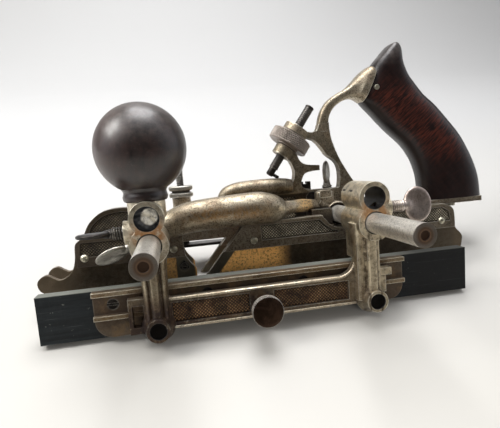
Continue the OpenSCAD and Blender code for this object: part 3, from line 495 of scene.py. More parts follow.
def gripTint(color, rough):
    # the handle: short red-brown streaks in the middle of its side, near-black edges, a grey painted sheen on
    # the horn
    point, _, across, height = place(color.tree)
    streak = point.mapped(Rotation=(0, math.radians(40), 0)).mapped(Scale=(0.16, 0.3, 1.5))
    streak = streak.noise(0.8, 4, 0.6, 0.3).ramp(0.44, 0.58) * across.ramp(-9, -11.6)
    middle = height.band(56, 70, 104, 118)
    # painted reflection: grey on the horn for its sheen
    hornSheen = height.ramp(124, 134) * point.noise(0.16, 3).ramp(0.34, 0.6)
    color = color.mix(streak * (middle * 0.7 + 0.08), (0.085, 0.02, 0.012))
    return color.mix(hornSheen * 0.4, (0.15, 0.13, 0.12)), rough


def ballTint(color, rough):
    # the knob: redder towards the toe, greyer on its crown partly as wear and partly as a painted highlight,
    # and scuffed
    point, along, _, height = place(color.tree)
    mottle = point.noise(0.22, 6, 0.72).ramp(0.42, 0.62)
    # the crown greyer: partly wear, partly a painted highlight on the top
    crown = height.ramp(80, 98) * point.noise(0.4, 5, 0.7).ramp(0.34, 0.64)
    scuffs = point.noise(0.6, 6, 0.78).ramp(0.56, 0.68)
    color = color.mix((along.ramp(-60, -80) * 0.5 + mottle * 0.25) * 0.8, (0.06, 0.024, 0.017))
    color = color.mix(crown * 0.55, (0.14, 0.115, 0.1)).mix(scuffs * 0.22, (0.12, 0.09, 0.075))
    return color, rough + (mottle * 0.06 + (crown + scuffs) * 0.12)


def latticeFinish(name, ground, tip, foot, patchy):
    # dark ground and light points, by the height that the panel keeps as an attribute
    material, tree, shader = startMaterial(name)
    point = place(tree)[0]
    relief = field(tree, "Attribute", output="Fac", attribute_name="relief")
    worn = point.noise(0.16, 6, 0.75).ramp(0.36, 0.62, patchy, 1)
    base = blend(point.noise(0.1, 5, 0.6).ramp(0.4, 0.64), ground, foot)
    feed(shader, Base_Color=base.mix(relief.ramp(0.25, 0.75) * worn, tip),
         Metallic=relief.ramp(0.2, 0.8, 0.2, 0.9), Roughness=relief.ramp(0.1, 0.9, 0.6, 0.36))
    return material


nickelTan, nickelEdge = (0.6, 0.53, 0.39), (0.9, 0.86, 0.74)
small = {"Rounding": 0.0001}
metals = {  # tint, bright, patina and edge colours, amounts (patina, rust, edge wear, pits, gloss), others
    "fence casting": (fenceTint, (nickelTan, (0.22, 0.165, 0.1), nickelEdge), (0.35, 0.3, 1, 0.6, 0.19)),
    "stock casting": (
        castTint, ((0.72, 0.645, 0.5), (0.23, 0.18, 0.115), nickelEdge), (0.45, 0.3, 0.9, 0.85, 0.26)),
    "rail": (
        railTint, ((0.78, 0.68, 0.5), (0.24, 0.175, 0.1), (0.84, 0.78, 0.64)), (0.6, 0.5, 1, 0.4, 0.26)),
    "skates": (
        skateTint, ((0.4, 0.35, 0.26), (0.14, 0.11, 0.075), (0.55, 0.5, 0.4)), (0.6, 0.3, 0.6, 0.3, 0.3)),
    "arms": (
        endTint, ((0.97, 0.94, 0.87), (0.6, 0.54, 0.44), (0.95, 0.93, 0.88)), (0.15, 0.08, 0.4, 0.4, 0.3),
        {"Grime Amount": 0.5}),
    "fence thumb screws": (
        None, ((0.8, 0.7, 0.64), (0.36, 0.28, 0.24), (0.8, 0.78, 0.7)), (0.5, 0.2, 0.9, 0.3, 0.24),
        {"Rust": (0.1, 0.05, 0.025), **small}),
    "thumb screws": (
        None, ((0.62, 0.6, 0.54), (0.3, 0.28, 0.24), (0.82, 0.8, 0.74)), (0.4, 0.15, 0.7, 0.25, 0.24),
        {"Rust": (0.14, 0.07, 0.03), **small}),
    "adjusting wheel": (
        None, ((0.34, 0.29, 0.255), (0.13, 0.1, 0.08), (0.6, 0.54, 0.48)), (0.35, 0.2, 0.8, 0.15, 0.24),
        {"Rust": (0.16, 0.08, 0.05), **small}),
    "milled screw": (
        None, ((0.055, 0.032, 0.02), (0.02, 0.012, 0.008), (0.62, 0.58, 0.52)), (0.6, 0.4, 1, 0.4, 0.34),
        {"Grime": (0.015, 0.009, 0.006), "Rust": (0.1, 0.045, 0.02), **small}),
    "blackened steel": (
        None, ((0.16, 0.15, 0.14), (0.03, 0.027, 0.025), (0.4, 0.38, 0.34)), (0.7, 0.2, 0.7, 0.3, 0.2),
        {"Grime": (0.008, 0.008, 0.008), "Rust": (0.06, 0.03, 0.018), **small}),
    "dark bores": (
        None, ((0.03, 0.026, 0.022), (0.012, 0.01, 0.009), (0.05, 0.045, 0.04)), (0.8, 0.2, 0.1, 0.3, 0.5),
        {"Grime": (0.004, 0.004, 0.004), "Rust": (0.02, 0.012, 0.008)}),
    "bore plug": (
        plugTint, ((0.8, 0.77, 0.7), (0.34, 0.31, 0.26), (0.95, 0.92, 0.86)), (0.3, 0.15, 1, 0.5, 0.24),
        {"Rust": (0.14, 0.07, 0.03), **small}),
    "rim beads": (
        None, ((0.9, 0.82, 0.66), (0.42, 0.33, 0.21), (0.95, 0.9, 0.8)), (0.35, 0.3, 0.5, 0.6, 0.26),
        {"Rust": (0.2, 0.1, 0.04), **small}),
    "pins": (
        None, ((0.76, 0.73, 0.58), (0.4, 0.36, 0.26), (0.85, 0.82, 0.7)), (0.3, 0.15, 0.6, 0.2, 0.22),
        {"Rust": (0.2, 0.1, 0.04)}),
}
lattices = {  # colours of the ground, of the points and of the ground's patches, and the least wear
    "web panels": ((0.006, 0.003, 0.002), (0.42, 0.25, 0.12), (0.03, 0.011, 0.005), 0.04),
    "stock panels": ((0.004, 0.003, 0.0025), (0.72, 0.64, 0.48), (0.01, 0.007, 0.005), 0.25),
    # the toe panels are a darker copy of the stock panels: painted shade
    "toe panels": ((0.008, 0.006, 0.005), (0.27, 0.22, 0.15), (0.02, 0.015, 0.01), 0.25),
}
woods = {  # tint, turn of the grain, dark, light and figure colours, amount of figure, bump, coat, shine
    "knob wood": (
        ballTint, (0, math.radians(80), 0.4), ((0.006, 0.005, 0.0055), (0.018, 0.011, 0.01),
        (0.045, 0.024, 0.02)), 0.2, 0.1, 0.22, 0.6),
    "handle wood": (
        gripTint, (0, math.radians(-52), 0), ((0.004, 0.0026, 0.003), (0.01, 0.0045, 0.004),
        (0.035, 0.011, 0.008)), 0.15, 0.2, 0.25, 0.3),
    "fence wood": (
        stripTint, (0, 0, 0), ((0.006, 0.0075, 0.0085), (0.016, 0.02, 0.022),
        (0.04, 0.045, 0.047)), 0.12, 0.35, 0, 0.3),
}
finishes = {}
for make, table in ((metalFinish, metals), (latticeFinish, lattices), (woodFinish, woods)):
    for name, row in table.items():
        finishes[name] = make(name, *row)
dressing = {  # nodes that aren't named here are blackened steel
    "fence casting": ["fence_casting"], "stock casting": ["sliding_section", "main_stock"],
    "skates": ["sliding_front_skate", "sliding_rear_skate", "main_front_skate", "main_rear_skate"],
    "rail": ["fence_rail"], "arms": ["front_arm", "rear_arm"],
    "fence thumb screws": ["rear_fence_screw", "knob_stud"], "bore plug": ["bore_plug"],
    "thumb screws": ["sliding_front_screw", "front_arm_screw", "rear_arm_screw", "sliding_set_screw",
                     "gauge_nut"],
    "adjusting wheel": ["adjusting_wheel"], "milled screw": ["fence_adjust_screw"],
    "dark bores": ["guide_pins"],
    "pins": ["sliding_skate_pins", "main_skate_pins", "handle_screws", "depth_gauge"],
    "knob wood": ["front_knob"], "handle wood": ["handle"], "fence wood": ["fence_wood"],
}
for name, node in nodes.items():
    finish = next((key for key, names in dressing.items() if name in names), "blackened steel")
    node.data.materials.clear()
    node.data.materials.append(finishes[finish])
print("materials on", len(nodes), "nodes")


# Thumb screws: a threaded shank with a neck and an oval head
def ovalHead(centre, along, across, length, width, thick):
    # P = c + a * along + b * across + h * normal, a = l/2 rho cos f, b = w/2 rho sin f, and the half
    # thickness h = t/2 sqrt(1 - rho^8) * (1 + a swelling at the shank - a shallow dish in the middle)
    normal = np.cross(along, across)
    turn = np.linspace(-math.pi / 2, math.pi / 2, 49)[:, None]
    rho, angle = np.cos(turn), ringAngles(72)
    u, v = rho * np.cos(angle), rho * np.sin(angle)
    swelling = 0.9 * np.exp(-((u + 0.95) ** 2 * 5 + v**2 * 12))
    dish = 0.42 * np.exp(-((u - 0.1) ** 2 + v**2) * 2.6)
    a, b = length / 2 * u, width / 2 * v
    h = np.sign(turn) * thick / 2 * np.sqrt(np.clip(1 - rho**8, 0, 1)) * (1 + swelling - dish)
    return centre + a[..., None] * along + b[..., None] * across + h[..., None] * normal


thumbScrews = [  # node, finish, start, way out, turn of the head, inner length, shank, head length and width
    ("front_fence_screw", "blackened steel", (-70.8, -61.5, 38), (-1, 0, 0), (0, -0.9976, 0.07), 6.8,
     5.4, 17, 20),
    ("rear_fence_screw", "fence thumb screws", (70.8, -61.5, 38), (1, 0, 0), (0, 0.1045, 0.9945), 6.8,
     8.5, 17, 20),
    ("sliding_front_screw", "thumb screws", (-71.616, -36.2, 26.457), (-0.9354, 0, -0.3535),
     (0.2028, 0.8192, -0.5366), 7.8, 0.3, 19, 15),
    ("front_arm_screw", "thumb screws", (-58.8, 2.5, 46), upward, (-0.766, 0.6428, 0), 8.8, 3.2, 15.8, 12),
    ("rear_arm_screw", "thumb screws", (58.8, 2.5, 46), upward, (0.595, 0.802, 0), 8.8, 3.2, 15.8, 12),
]
thumbSize = {"radius": 3.4, "pitch": 1.3, "depth": 0.62, "headThick": 2.8, "neck": 2.6}


def addThumbScrew(name, finish, start, wayOut, headWay, inner, shank, length, width):
    axis = axisFrame(start, wayOut, headWay)
    start, out, _, leaf = axis
    s = thumbSize
    rows = threadProfile(-inner, shank, s["radius"], s["pitch"])
    stem = turned(axis, rows, 40, threadWave(s["pitch"], s["depth"], -inner, shank))
    neck = [[shank - 0.4, s["neck"]], [shank + 0.5, s["neck"]], [shank + 2.6, s["neck"] * 0.85]]
    head = ovalHead(start + (shank + 0.8 + length / 2) * out, out, leaf, length, width, s["headThick"])
    addPiece(name.title().replace("_", ""), [(stem, True), (turned(axis, neck, 32), True), (head, False)],
             name, finish, (name,))


for screw in thumbScrews:
    addThumbScrew(*screw)
print("thumb screws made")


# Knob: a turned ball on its neck
knob = {"radius": 22.8, "height": 78.9, "lip": 9.6, "collar": 11.25, "waist": 10.8, "shoulder": 11.5,
        "foot": 52.7}


def addKnob(k):
    # a profile turned about its axis: the collar's curve from the foot, then the ball's arc to its top
    join = -math.acos(k["shoulder"] / k["radius"])
    around = np.linspace(join, math.pi / 2, 72)
    ball = np.stack([k["height"] + k["radius"] * np.sin(around), k["radius"] * np.cos(around)], 1)
    collar = [[0, k["lip"]], [0.3, k["collar"] - 0.8], [1.1, k["collar"] - 0.2], [2.7, k["collar"]],
              [4.8, k["waist"]]]
    neck = smoothPath([[k["foot"] + up, r] for up, r in collar] + [list(ball[0])], 6)[:-1]
    profile = np.concatenate([[[k["foot"], 0]], neck, ball])
    shape = turned(axisFrame((-armX, -58.1, 0), upward, inward), profile, 128)
    addPiece("Knob", [(shape, False)], "fence", "knob wood", ("front_knob",))


addKnob(knob)

# Handle: superellipse rings between its front and back edges
handle = {"rings": [  # front x, front z, back x, back z, half width
    (107.7, 139.9, 110.2, 139.7, 5.2), (105.9, 139.2, 111.5, 138.3, 7), (103.2, 137, 112.9, 134.4, 8.8),
    (98.2, 132, 113.8, 126.6, 10.2), (91.9, 125, 117.6, 118.4, 10.75), (87, 114.9, 122.6, 112.4, 10.95),
    (82.3, 104.9, 128.8, 105.4, 11), (91.6, 93.4, 136.8, 98.4, 11), (101.9, 82.6, 146.2, 88, 11),
    (112.4, 72.8, 154.4, 78.2, 11), (119.2, 63.2, 160.6, 68, 11), (123.3, 52.4, 165.8, 57.4, 11),
    (124.6, 43, 169.4, 46.4, 11), (124.9, 33.45, 171, 33.45, 10.6)], "squareness": 0.77}


def addHandle(h):
    # P = mid + half * sgn(sin a)|sin a|^q along the ring, half width * sgn(cos a)|cos a|^q across it
    rings = smoothPath(h["rings"], 8)
    angle = ringAngles(96)
    along, across = (signedPower(v, h["squareness"]) for v in (np.sin(angle), np.cos(angle)))
    front, back = rings[:, None, 0:2], rings[:, None, 2:4]
    flat = (front + back) / 2 + (back - front) / 2 * along[..., None]
    grid = np.stack([flat[..., 0], mainMid + rings[:, 4:5] * across, flat[..., 1]], -1)
    addPiece("Handle", [(grid, True)], "main", "handle wood", ("handle",), 60)


addHandle(handle)
print("knob and handle made")


def barSurface(stations, steps, grow, square=1, sides=48):
    # P = c + depth cos a * y + height sin a * (up turned by the slope), each with sgn(v)|v|^square
    rows = smoothPath(stations, steps)
    angle, tilt = ringAngles(sides), np.radians(rows[:, 3:4])
    deep = (rows[:, 4:5] + grow) * signedPower(np.cos(angle), square)
    up = (rows[:, 5:6] + grow) * signedPower(np.sin(angle), square)
    x, y, z = rows[:, :1], rows[:, 1:2], rows[:, 2:3]
    return np.stack([x - up * np.sin(tilt), y + deep, z + up * np.cos(tilt)], -1)


# Bars of the castings: oval rings along a smooth path
bars = {  # body, middle y and z, growth over the CAD, squareness, x, y, z, slope, half depth and height
    "NearBar": ("sliding", (slideMid - 5.5, armZ), 0.22, 1, [
        (-58, 0, 1.7, 10, 5, 6), (-50, 0, 4.2, 14, 7.2, 7.4), (-42.5, 0, 6.6, 12, 8.6, 8.4),
        (-35, 0, 8.1, 7, 9, 8.9), (-16.5, 0, 9.2, 3, 9.4, 9.3), (2.5, 0, 9.7, -3, 9.2, 9.5),
        (9, 0.4, 9, -8, 8.6, 9.1), (14.5, 0.8, 8, -11, 7.6, 8.1), (18.4, 1.2, 7.6, -6, 6, 6.2),
        (20.6, 1.8, 7.7, -2, 4.4, 4.5), (24, 3.6, 8, 0, 3.8, 3.9), (32, 8.6, 7.8, -6, 3.8, 3.9),
        (40, 14.5, 6.6, -12, 3.6, 4.1), (47, 17.5, 4.8, -16, 3.4, 4.6), (53, 17.5, 3, -16, 3, 4.4)]),
    "FarBar": ("main", (-6.1, 0), 0.2, 1, [
        (-16, 1.6, 46.4, 24, 3, 2.6), (-12, 0, 49.6, 24, 4.6, 4), (-5, 0, 51.2, 8, 5.4, 4.8),
        (6, 0, 51.9, 1, 5.6, 5), (18, 0, 51.9, 0, 5.4, 5), (27, 0, 51.6, 0, 4.6, 4.8),
        (32, 1, 51.2, 0, 3, 4)]),
    "Strap": ("main", (mainMid, 0), 0.2, 0.66, [
        (56.6, 0, 85, 90, 3.2, 3.4), (56.6, 0, 90.4, 88, 3.3, 3.6), (58.2, 0, 96.4, 72, 3.5, 3.2),
        (62, 0, 102, 46, 3.8, 3), (67.8, 0, 106, 26, 4.2, 2.8), (73.8, 0, 108.6, 12, 4.8, 3.3),
        (79, 0, 111.2, -4, 6.2, 6), (85.2, 0, 114.9, -25.5, 8.6, 11.4), (89, 0, 113.1, -25.5, 9.4, 11.8)]),
}
for name, (body, (y, z), grow, square, rows) in bars.items():
    grid = barSurface(np.array(rows) + [0, y, z, 0, 0, 0], 8, grow, square)
    addPiece(name, [(grid, True)], body, "stock casting", sharp=60)
print("bars made")


def softSlab(low, high, radius, sides=64):
    # rounded slab: P = c + half * sgn(cos a)|cos a|^(1/4) in x, the same with sin in y, drawn in by radius
    # (1 - cos t) at the top and the bottom
    low, high = np.array(low, float), np.array(high, float)
    half, middle = (high - low) / 2, (high + low) / 2
    turn = np.linspace(0, math.pi / 2, 5)
    inset = np.concatenate([radius * (1 - np.sin(turn)), radius * (1 - np.cos(turn))])[:, None]
    rise = np.concatenate([radius * (1 - np.cos(turn)) - half[2], half[2] - radius * (1 - np.sin(turn))])
    angle = ringAngles(sides)
    x = middle[0] + (half[0] - inset) * signedPower(np.cos(angle), 0.25)
    y = middle[1] + (half[1] - inset) * signedPower(np.sin(angle), 0.25)
    return np.stack([x, y, middle[2] + rise[:, None] + 0 * angle], -1)


# Fence posts: a rounded front with a flat-topped rib down it
posts = [  # name, x, rib's middle and half width, hollow beside it, then half width and front by height
    ("FrontPost", -armX, 0, 0.33, 0, (6.3, 6.3, 6.4, 6.6, 6.9, 7.6, 8.6),
     (-66.6, -66.4, -66.3, -66.3, -66.4, -66.8, -69)),
    ("RearPost", 56.6, 0.17, 0.4, 1, (7.2, 7.1, 7.1, 7.1, 7.2, 7.8, 8.8),
     (-66.4, -66.2, -66.2, -66.2, -66.3, -66.8, -69)),
]
postSize = {"heights": (-12.2, -6, 2, 10, 18, 24, 31.3), "back": -58.6, "rib": 2.3, "groove": 0.1}


def addPost(name, middle, ribAt, ribHalf, hollow, widths, fronts):
    # x = middle + w u, y = back + root * (front - back - rib exp(-((u - a) / b)^6)
    # + exp(-((|u - a| - b - 0.12) / groove)^2) + hollow exp(-((u + 0.45) / 0.3)^2)), with the root
    # (1 - |u|^5)^(1/3), and w and front by height
    rows = smoothPath(list(zip(postSize["heights"], widths, fronts)), 6)
    u = np.sin(np.linspace(-math.pi / 2, math.pi / 2, 56))[None, :]
    width, front = rows[:, 1:2], rows[:, 2:3]
    root = (1 - np.abs(u) ** 5).clip(0, 1) ** (1 / 3)
    y = postSize["back"] + (front - postSize["back"]) * root
    groove = np.exp(-((np.abs(u - ribAt) - ribHalf - 0.12) / postSize["groove"]) ** 2)
    groove = groove + hollow * np.exp(-((u + 0.45) / 0.3) ** 2)
    y = y - (postSize["rib"] * np.exp(-((u - ribAt) / ribHalf) ** 6) - groove) * root
    grid = np.stack([middle + width * u, y, rows[:, :1] + 0 * u], -1)
    addPiece(name, [(grid, True)], "fence", "fence casting")


for post in posts:
    addPost(*post)
flareProfile = smoothPath([[0, 5.4], [0, 5.9], [0.6, 6.1], [3, 6.2], [6, 6.9], [9.2, 8.6], [9.3, 8.2],
                           [9.3, 5.4], [0, 5.4]], 4)
for name, x in (("FrontTubeFlare", -armX), ("RearTubeFlare", armX)):
    flare = turned(axisFrame((x, -69.9, -12.2), inward), flareProfile, 72)
    addPiece(name, [(flare, False)], "fence", "fence casting")
bend = {"x": 40.6, "z": 1.2, "radius": 10.4, "reach": 10}
turn = np.linspace(0, math.pi / 2, 9)[1:]
rims = {  # beads along the web: x, y, z, slope, half depth, half height
    "TopRimBead": [(x, -60.6, 1.1, 0, 0.95, 0.85) for x in (-53, -30, -5, 20, 40)]
    + [(bend["x"] + bend["reach"] * math.sin(t), -60.6, bend["z"] + bend["radius"] * (1 - math.cos(t)),
        math.degrees(t), 0.95, 0.85) for t in turn],
    "LowRimBead": [(x, -60.6, -14.2, 0, 0.85, 0.75) for x in (-54, -30, -5, 20, 50)],
}
for name, rows in rims.items():
    addPiece(name, [(barSurface(rows, 4, 0, 1, 16), True)], "fence", "rim beads", sharp=60)

# The sliding section's rear boss: a rim round the arm, and a pad above
rim = turned(axisFrame((armX, -8.2, armZ), (0, -1, 0)),
             [[0, 6.3], [0, 7.6], [0.6, 8.1], [7.6, 8.1], [8.3, 7.9], [8.6, 7.5], [8.4, 7.1], [7, 6.9],
              [6.6, 6.3], [0, 6.3]], 96)
addPiece("RearBossRim", [(rim, False)], "sliding", "stock casting")
addPiece("RearBossPad", [(softSlab((45.6, -15.4, 37.5), (57, -8.6, 46.4), 1.2), True),
                         (softSlab((47.2, -15.9, 42.6), (55.4, -9.4, 47.2), 0.6), True)],
         "sliding", "stock casting", sharp=45)
print("posts, rims and rear boss made")


# Turned and milled screws
def milledWave(teeth, depth, low, high):
    # - depth * |cos(n a / 2)| between two heights, faded over half a millimetre
    def wave(h, angle):
        return -depth * np.abs(np.cos(teeth * angle / 2)) * fadeBetween(h, low, high, 0.5)
    return wave


def diamondWave(teeth, rise, depth, low, high):
    # two crossed helical ridges: - depth * (1 - max(ridge(n a + k h), ridge(n a - k h))), with
    # ridge(v) = |cos(v / 2)|^2.2
    def wave(h, angle):
        ridges = [np.abs(np.cos((teeth * angle + way * h) / 2)) ** 2.2 for way in (rise, -rise)]
        return -depth * (1 - np.maximum(*ridges)) * fadeBetween(h, low, high, 0.4)
    return wave


def straight(radius, low, high, count):
    # a straight run of a profile, in rows close enough for a wave
    return [[h, radius] for h in np.linspace(low, high, count)]


rod = {"at": (28.5, mainMid, 73.6), "angle": math.radians(54), "radius": 3, "pitch": 1.27, "depth": 0.3}
rodWay = (math.cos(rod["angle"]), 0, math.sin(rod["angle"]))
rodAxis = axisFrame(rod["at"], rodWay, inward)
wheelProfile = [
    [3.5, 3.1], [3.5, 7.2], [3.9, 7.9], [4.4, 8], [4.7, 8.6], [4.5, 10.5], [4.5, 12.6], [5.1, 13.5],
    *straight(13.5, 5.3, 11.7, 40), [11.9, 13.5], [12.5, 12.6], [12.5, 10.5], [12.3, 8.6], [12.6, 8],
    [13.1, 7.9], [13.5, 7.2], [13.5, 3.1], [3.5, 3.1]]
wheel = turned(rodAxis, wheelProfile, 480, diamondWave(58, 3.4, 0.75, 5.1, 11.9))
addPiece("AdjustingWheel", [(wheel, False)], "adjusting_wheel", "adjusting wheel",
         ("adjusting_wheel",), 35)

rodRows = np.concatenate([[[-17.8, 0], [-17.8, 2], [-17.2, 2.5], [-12.6, 2.5]],
                          threadProfile(-12.2, 34.3, rod["radius"], rod["pitch"]), [[34.7, 2.6], [34.7, 0]]])
rodStem = turned(rodAxis, rodRows, 48, threadWave(rod["pitch"], rod["depth"], -12, 34))
tipAxis = axisFrame(np.array(rod["at"]) - 16 * np.array(rodWay), (rodWay[2], 0, -rodWay[0]), inward)
tipPin = turned(tipAxis, [[1, 0], [1, 1.1], [6, 1.1], [6.3, 0.8], [6.3, 0]], 24)
addPiece("AdjustingRod", [(rodStem, False), (tipPin, False)], "adjusting_rod", "blackened steel",
         ("adjusting_rod",), 45)

milledProfile = [[0.1, 0], [0, 5.6], [0.35, 7.3], [0.9, 8.2], *straight(8.2, 1.1, 4.3, 14), [4.6, 7.9],
                 [5, 7.3], [5, 4.2], [15.9, 4.2], [15.9, 2.5], [31.1, 2.5], [31.1, 0]]
milled = turned(axisFrame((-3.4, -76.5, -8), inward), milledProfile, 432, milledWave(72, 0.3, 0.9, 4.4))
addPiece("MilledScrew", [(milled, False)], "fence_adjust_screw", "milled screw",
         ("fence_adjust_screw",), 35)

gauge = {"x": -40, "y": 9, "radius": 2.5, "pitch": 1, "depth": 0.5, "foot": 16, "thread": 40, "top": 68.3,
         "nut": 49.2}
nutProfile = [[0, 2.6], [0, 7], *straight(7.8, 0.6, 2.3, 8), [2.9, 7.2], [3.4, 5.8], [4, 5.8], [4.5, 7.2],
              *straight(7.8, 5.1, 6.8, 8), [7.4, 7.2], [7.4, 2.6], [0, 2.6]]
nut = turned(axisFrame((gauge["x"], gauge["y"], gauge["nut"]), upward, inward), nutProfile, 384,
             milledWave(64, 0.35, 0.3, 7.1))
addPiece("GaugeNut", [(nut, False)], "gauge_nut", "thumb screws", ("gauge_nut",), 35)

gaugeThread = threadProfile(gauge["thread"], gauge["top"] - 0.5, gauge["radius"], gauge["pitch"])
gaugeRows = np.concatenate([[[gauge["foot"], 0], [gauge["foot"], gauge["radius"]]], gaugeThread,
                            [[gauge["top"], gauge["radius"] - 0.6], [gauge["top"], 0]]])
gaugeRod = turned(axisFrame((gauge["x"], gauge["y"], 0), upward, inward), gaugeRows, 36,
                  threadWave(gauge["pitch"], gauge["depth"], gauge["thread"], gauge["top"]))
addPiece("DepthGauge", [(gaugeRod, False), (softSlab((-44, 3.4, 16), (-14, 14.6, 18), 0.4), True)],
         "depth_gauge", "blackened steel", ("depth_gauge",), 45)

plug = {"radius": 6.02, "depth": 7, "dome": 0.9, "groove": 1.9, "width": 0.75, "lumps": 0.4, "turn": 0.5}


def addPlug(p):
    # face: depth below the crown = dome rho^4 + groove exp(-((bow - across) / width)^2)
    # + lumps (1 + sin(1.5 u + 1) cos(1.9 v)), bow = 1.6 - 0.09 along^2
    axis = axisFrame((-armX, -69.1, armZ + 13.4), inward)
    rho, angle = np.linspace(0, p["radius"], 26)[:, None], ringAngles(96)
    u, v = rho * np.cos(angle), rho * np.sin(angle)
    c, s = math.cos(p["turn"]), math.sin(p["turn"])
    bow = 1.6 - 0.09 * (u * c + v * s) ** 2
    sunk = p["dome"] * (rho / p["radius"]) ** 4
    sunk = sunk + p["groove"] * np.exp(-((bow - (v * c - u * s)) / p["width"]) ** 2)
    sunk = sunk + p["lumps"] * (1 + np.sin(1.5 * u + 1) * np.cos(1.9 * v))
    face = axis[0] + sunk[..., None] * axis[1] + u[..., None] * axis[2] + v[..., None] * axis[3]
    side = turned(axis, [[p["depth"], p["radius"]], [p["depth"], 0]], 96)
    addPiece("BorePlug", [(np.concatenate([face, side]), False)], "fence", "bore plug",
             ("bore_plug",), 55)


addPlug(plug)
print("turned pieces made")

# Sunk panels with a lattice of raised lines
lattice = {"pitch": 1.8, "rise": 0.7, "cell": 0.225, "slope": 45, "fade": 0.45}


def latticePanel(name, body, finish, face, outline):
    # rows of small pyramids: h = rise * min(peak((x + z/s) / p), peak((x - z/s) / p))^0.8 with peak(t) =
    # 1 - 2|t - round t|, faded to 0 at the outline; the height is also kept as an attribute for the finish
    pitch, rise, cell = lattice["pitch"], lattice["rise"], lattice["cell"]
    start = np.array(outline, float)
    end, low, high = np.roll(start, -1, 0), start.min(0), start.max(0)
    x, z = np.meshgrid(np.arange(low[0], high[0], cell), np.arange(low[1], high[1], cell), indexing="ij")
    way, offX, offZ = end - start, x[..., None] - start[:, 0], z[..., None] - start[:, 1]
    crossed = ((start[:, 1] > z[..., None]) != (end[:, 1] > z[..., None])) & (
        x[..., None] < way[:, 0] * offZ / (way[:, 1] + 1e-9) + start[:, 0])
    inside = crossed.sum(-1) % 2 == 1
    t = np.clip((offX * way[:, 0] + offZ * way[:, 1]) / (way**2).sum(1), 0, 1)
    far = np.hypot(offX - t * way[:, 0], offZ - t * way[:, 1]).min(-1)
    slope = math.tan(math.radians(lattice["slope"]))
    peaks = [1 - 2 * np.abs(v - np.round(v)) for v in ((x + z / slope) / pitch, (x - z / slope) / pitch)]
    relief = np.minimum(*peaks) ** 0.8
    fade = np.clip((far - cell) / lattice["fade"], 0, 1) * inside
    grid = np.stack([x, face + 0.05 - (0.09 + rise * relief) * fade, z], -1)
    keep = inside[:-1, :-1] & inside[1:, :-1] & inside[1:, 1:] & inside[:-1, 1:]
    faces = gridFaces(*x.shape, False).reshape(x.shape[0] - 1, x.shape[1] - 1, 4)[keep]
    used, index = np.unique(faces, return_inverse=True)
    mesh = bpy.data.meshes.new(name)
    mesh.from_pydata(toWorld(grid.reshape(-1, 3)[used]), [], index.reshape(-1, 4).tolist())
    layer = mesh.attributes.new("relief", "FLOAT", "POINT")
    layer.data.foreach_set("value", (relief * fade).reshape(-1)[used].astype(np.float32))
    mesh.shade_smooth()
    linkPiece(name, mesh, body, finish)


def bedAt(z):
    # where the stock's bed for the cutter lies at a height
    return -32.1 + z / math.tan(math.radians(50))


def webOutline(start, end, low=-11.8, high=-1.2):
    return [(start, low), (end, low), (end, high), (start, high)]


webFace, slideFace, mainFace = -59.1, -26.9, -3.4
low, high = 21.2, 30.2
humpCurve = smoothPath([(-100.1, 27.6), (-97.4, 34.6), (-93.8, 39), (-87.6, 42.8), (-78.4, 44.2),
                        (-70.2, 43.2)], 4)
panels = [  # name, body, finish, face, outline
    ("WebPanelFront", "fence", "web panels", webFace, webOutline(-51.3, -10.2)),
    ("WebPanelRear", "fence", "web panels", webFace, webOutline(3.4, 45.9)),
    ("ToePanel", "sliding", "toe panels", slideFace,
     [(-100.4, low + 1), (-99.4, high), (-68.6, high), (-68.6, low)]),
    ("MiddlePanel", "sliding", "stock panels", slideFace,
     [(5, low), (5, high), (42.2, high), (45.4, 26.7), (49.8, 23.3), (53.8, 22.1), (53.8, low)]),
    ("HeelPanel", "sliding", "stock panels", slideFace,
     [(71.8, low), (71.8, high), (125.6, high), (130.4, 27.2), (131.4, low)]),
    ("HumpPanel", "main", "toe panels", mainFace,
     [(-68.6, low), (-100.2, low + 1), *humpCurve, (-68.6, 42.6)]),
    ("StockPanel", "main", "stock panels", mainFace,
     [(bedAt(low) + 9, low), (bedAt(44) + 4, 44), (34, 44), (34, low)]),
    ("FootPanel", "main", "stock panels", mainFace,
     [(69.8, low), (69.8, 43.4), (76, 43.4), (82, 36.4), (90, 28.2), (126, 28.2), (130.8, 25.4),
      (131.4, low)]),
]
for panel in panels:
    latticePanel(*panel)
print("panels made:", len(panels))


# Camera: the photograph's, as an upright place and three angles
view = {"place": (-44.544, -289.979, 66.644), "yaw": 10.103, "pitch": -7.446, "roll": -4.378,  # degrees
        "sensor": 36, "focal": 445.267 / 500, "shift": (-0.01214, 0.01829)}


def addCamera(v):
    yaw, pitch, roll = (math.radians(v[key]) for key in ("yaw", "pitch", "roll"))
    forward = np.array([math.sin(yaw) * math.cos(pitch), math.cos(yaw) * math.cos(pitch), math.sin(pitch)])
    level = np.array([math.cos(yaw), -math.sin(yaw), 0])
    up = np.cross(level, forward)
    right = math.cos(roll) * level + math.sin(roll) * up
    above = math.cos(roll) * up - math.sin(roll) * level
    columns = [(toWorld(way) - toWorld((0, 0, 0))) * 1000 for way in (right, above, -forward)]
    data = bpy.data.cameras.new("view")
    data.lens, data.sensor_width = v["focal"] * v["sensor"], v["sensor"]
    data.shift_x, data.shift_y = v["shift"]
    data.clip_start, data.clip_end = 0.01, 20
    camera = addObject("view", data)
    camera.matrix_world = Matrix([*np.stack([*columns, toWorld(v["place"])], 1).tolist(), (0, 0, 0, 1)])
    bpy.context.scene.camera = camera


sweep = {"halfWidth": 3, "front": -1.6, "start": 0.55, "radius": 0.5, "top": 2.2,
         "near": (0.51, 0.495, 0.46), "far": (0.5, 0.5, 0.498), "cloud": (0.3, 0.27, 0.22)}


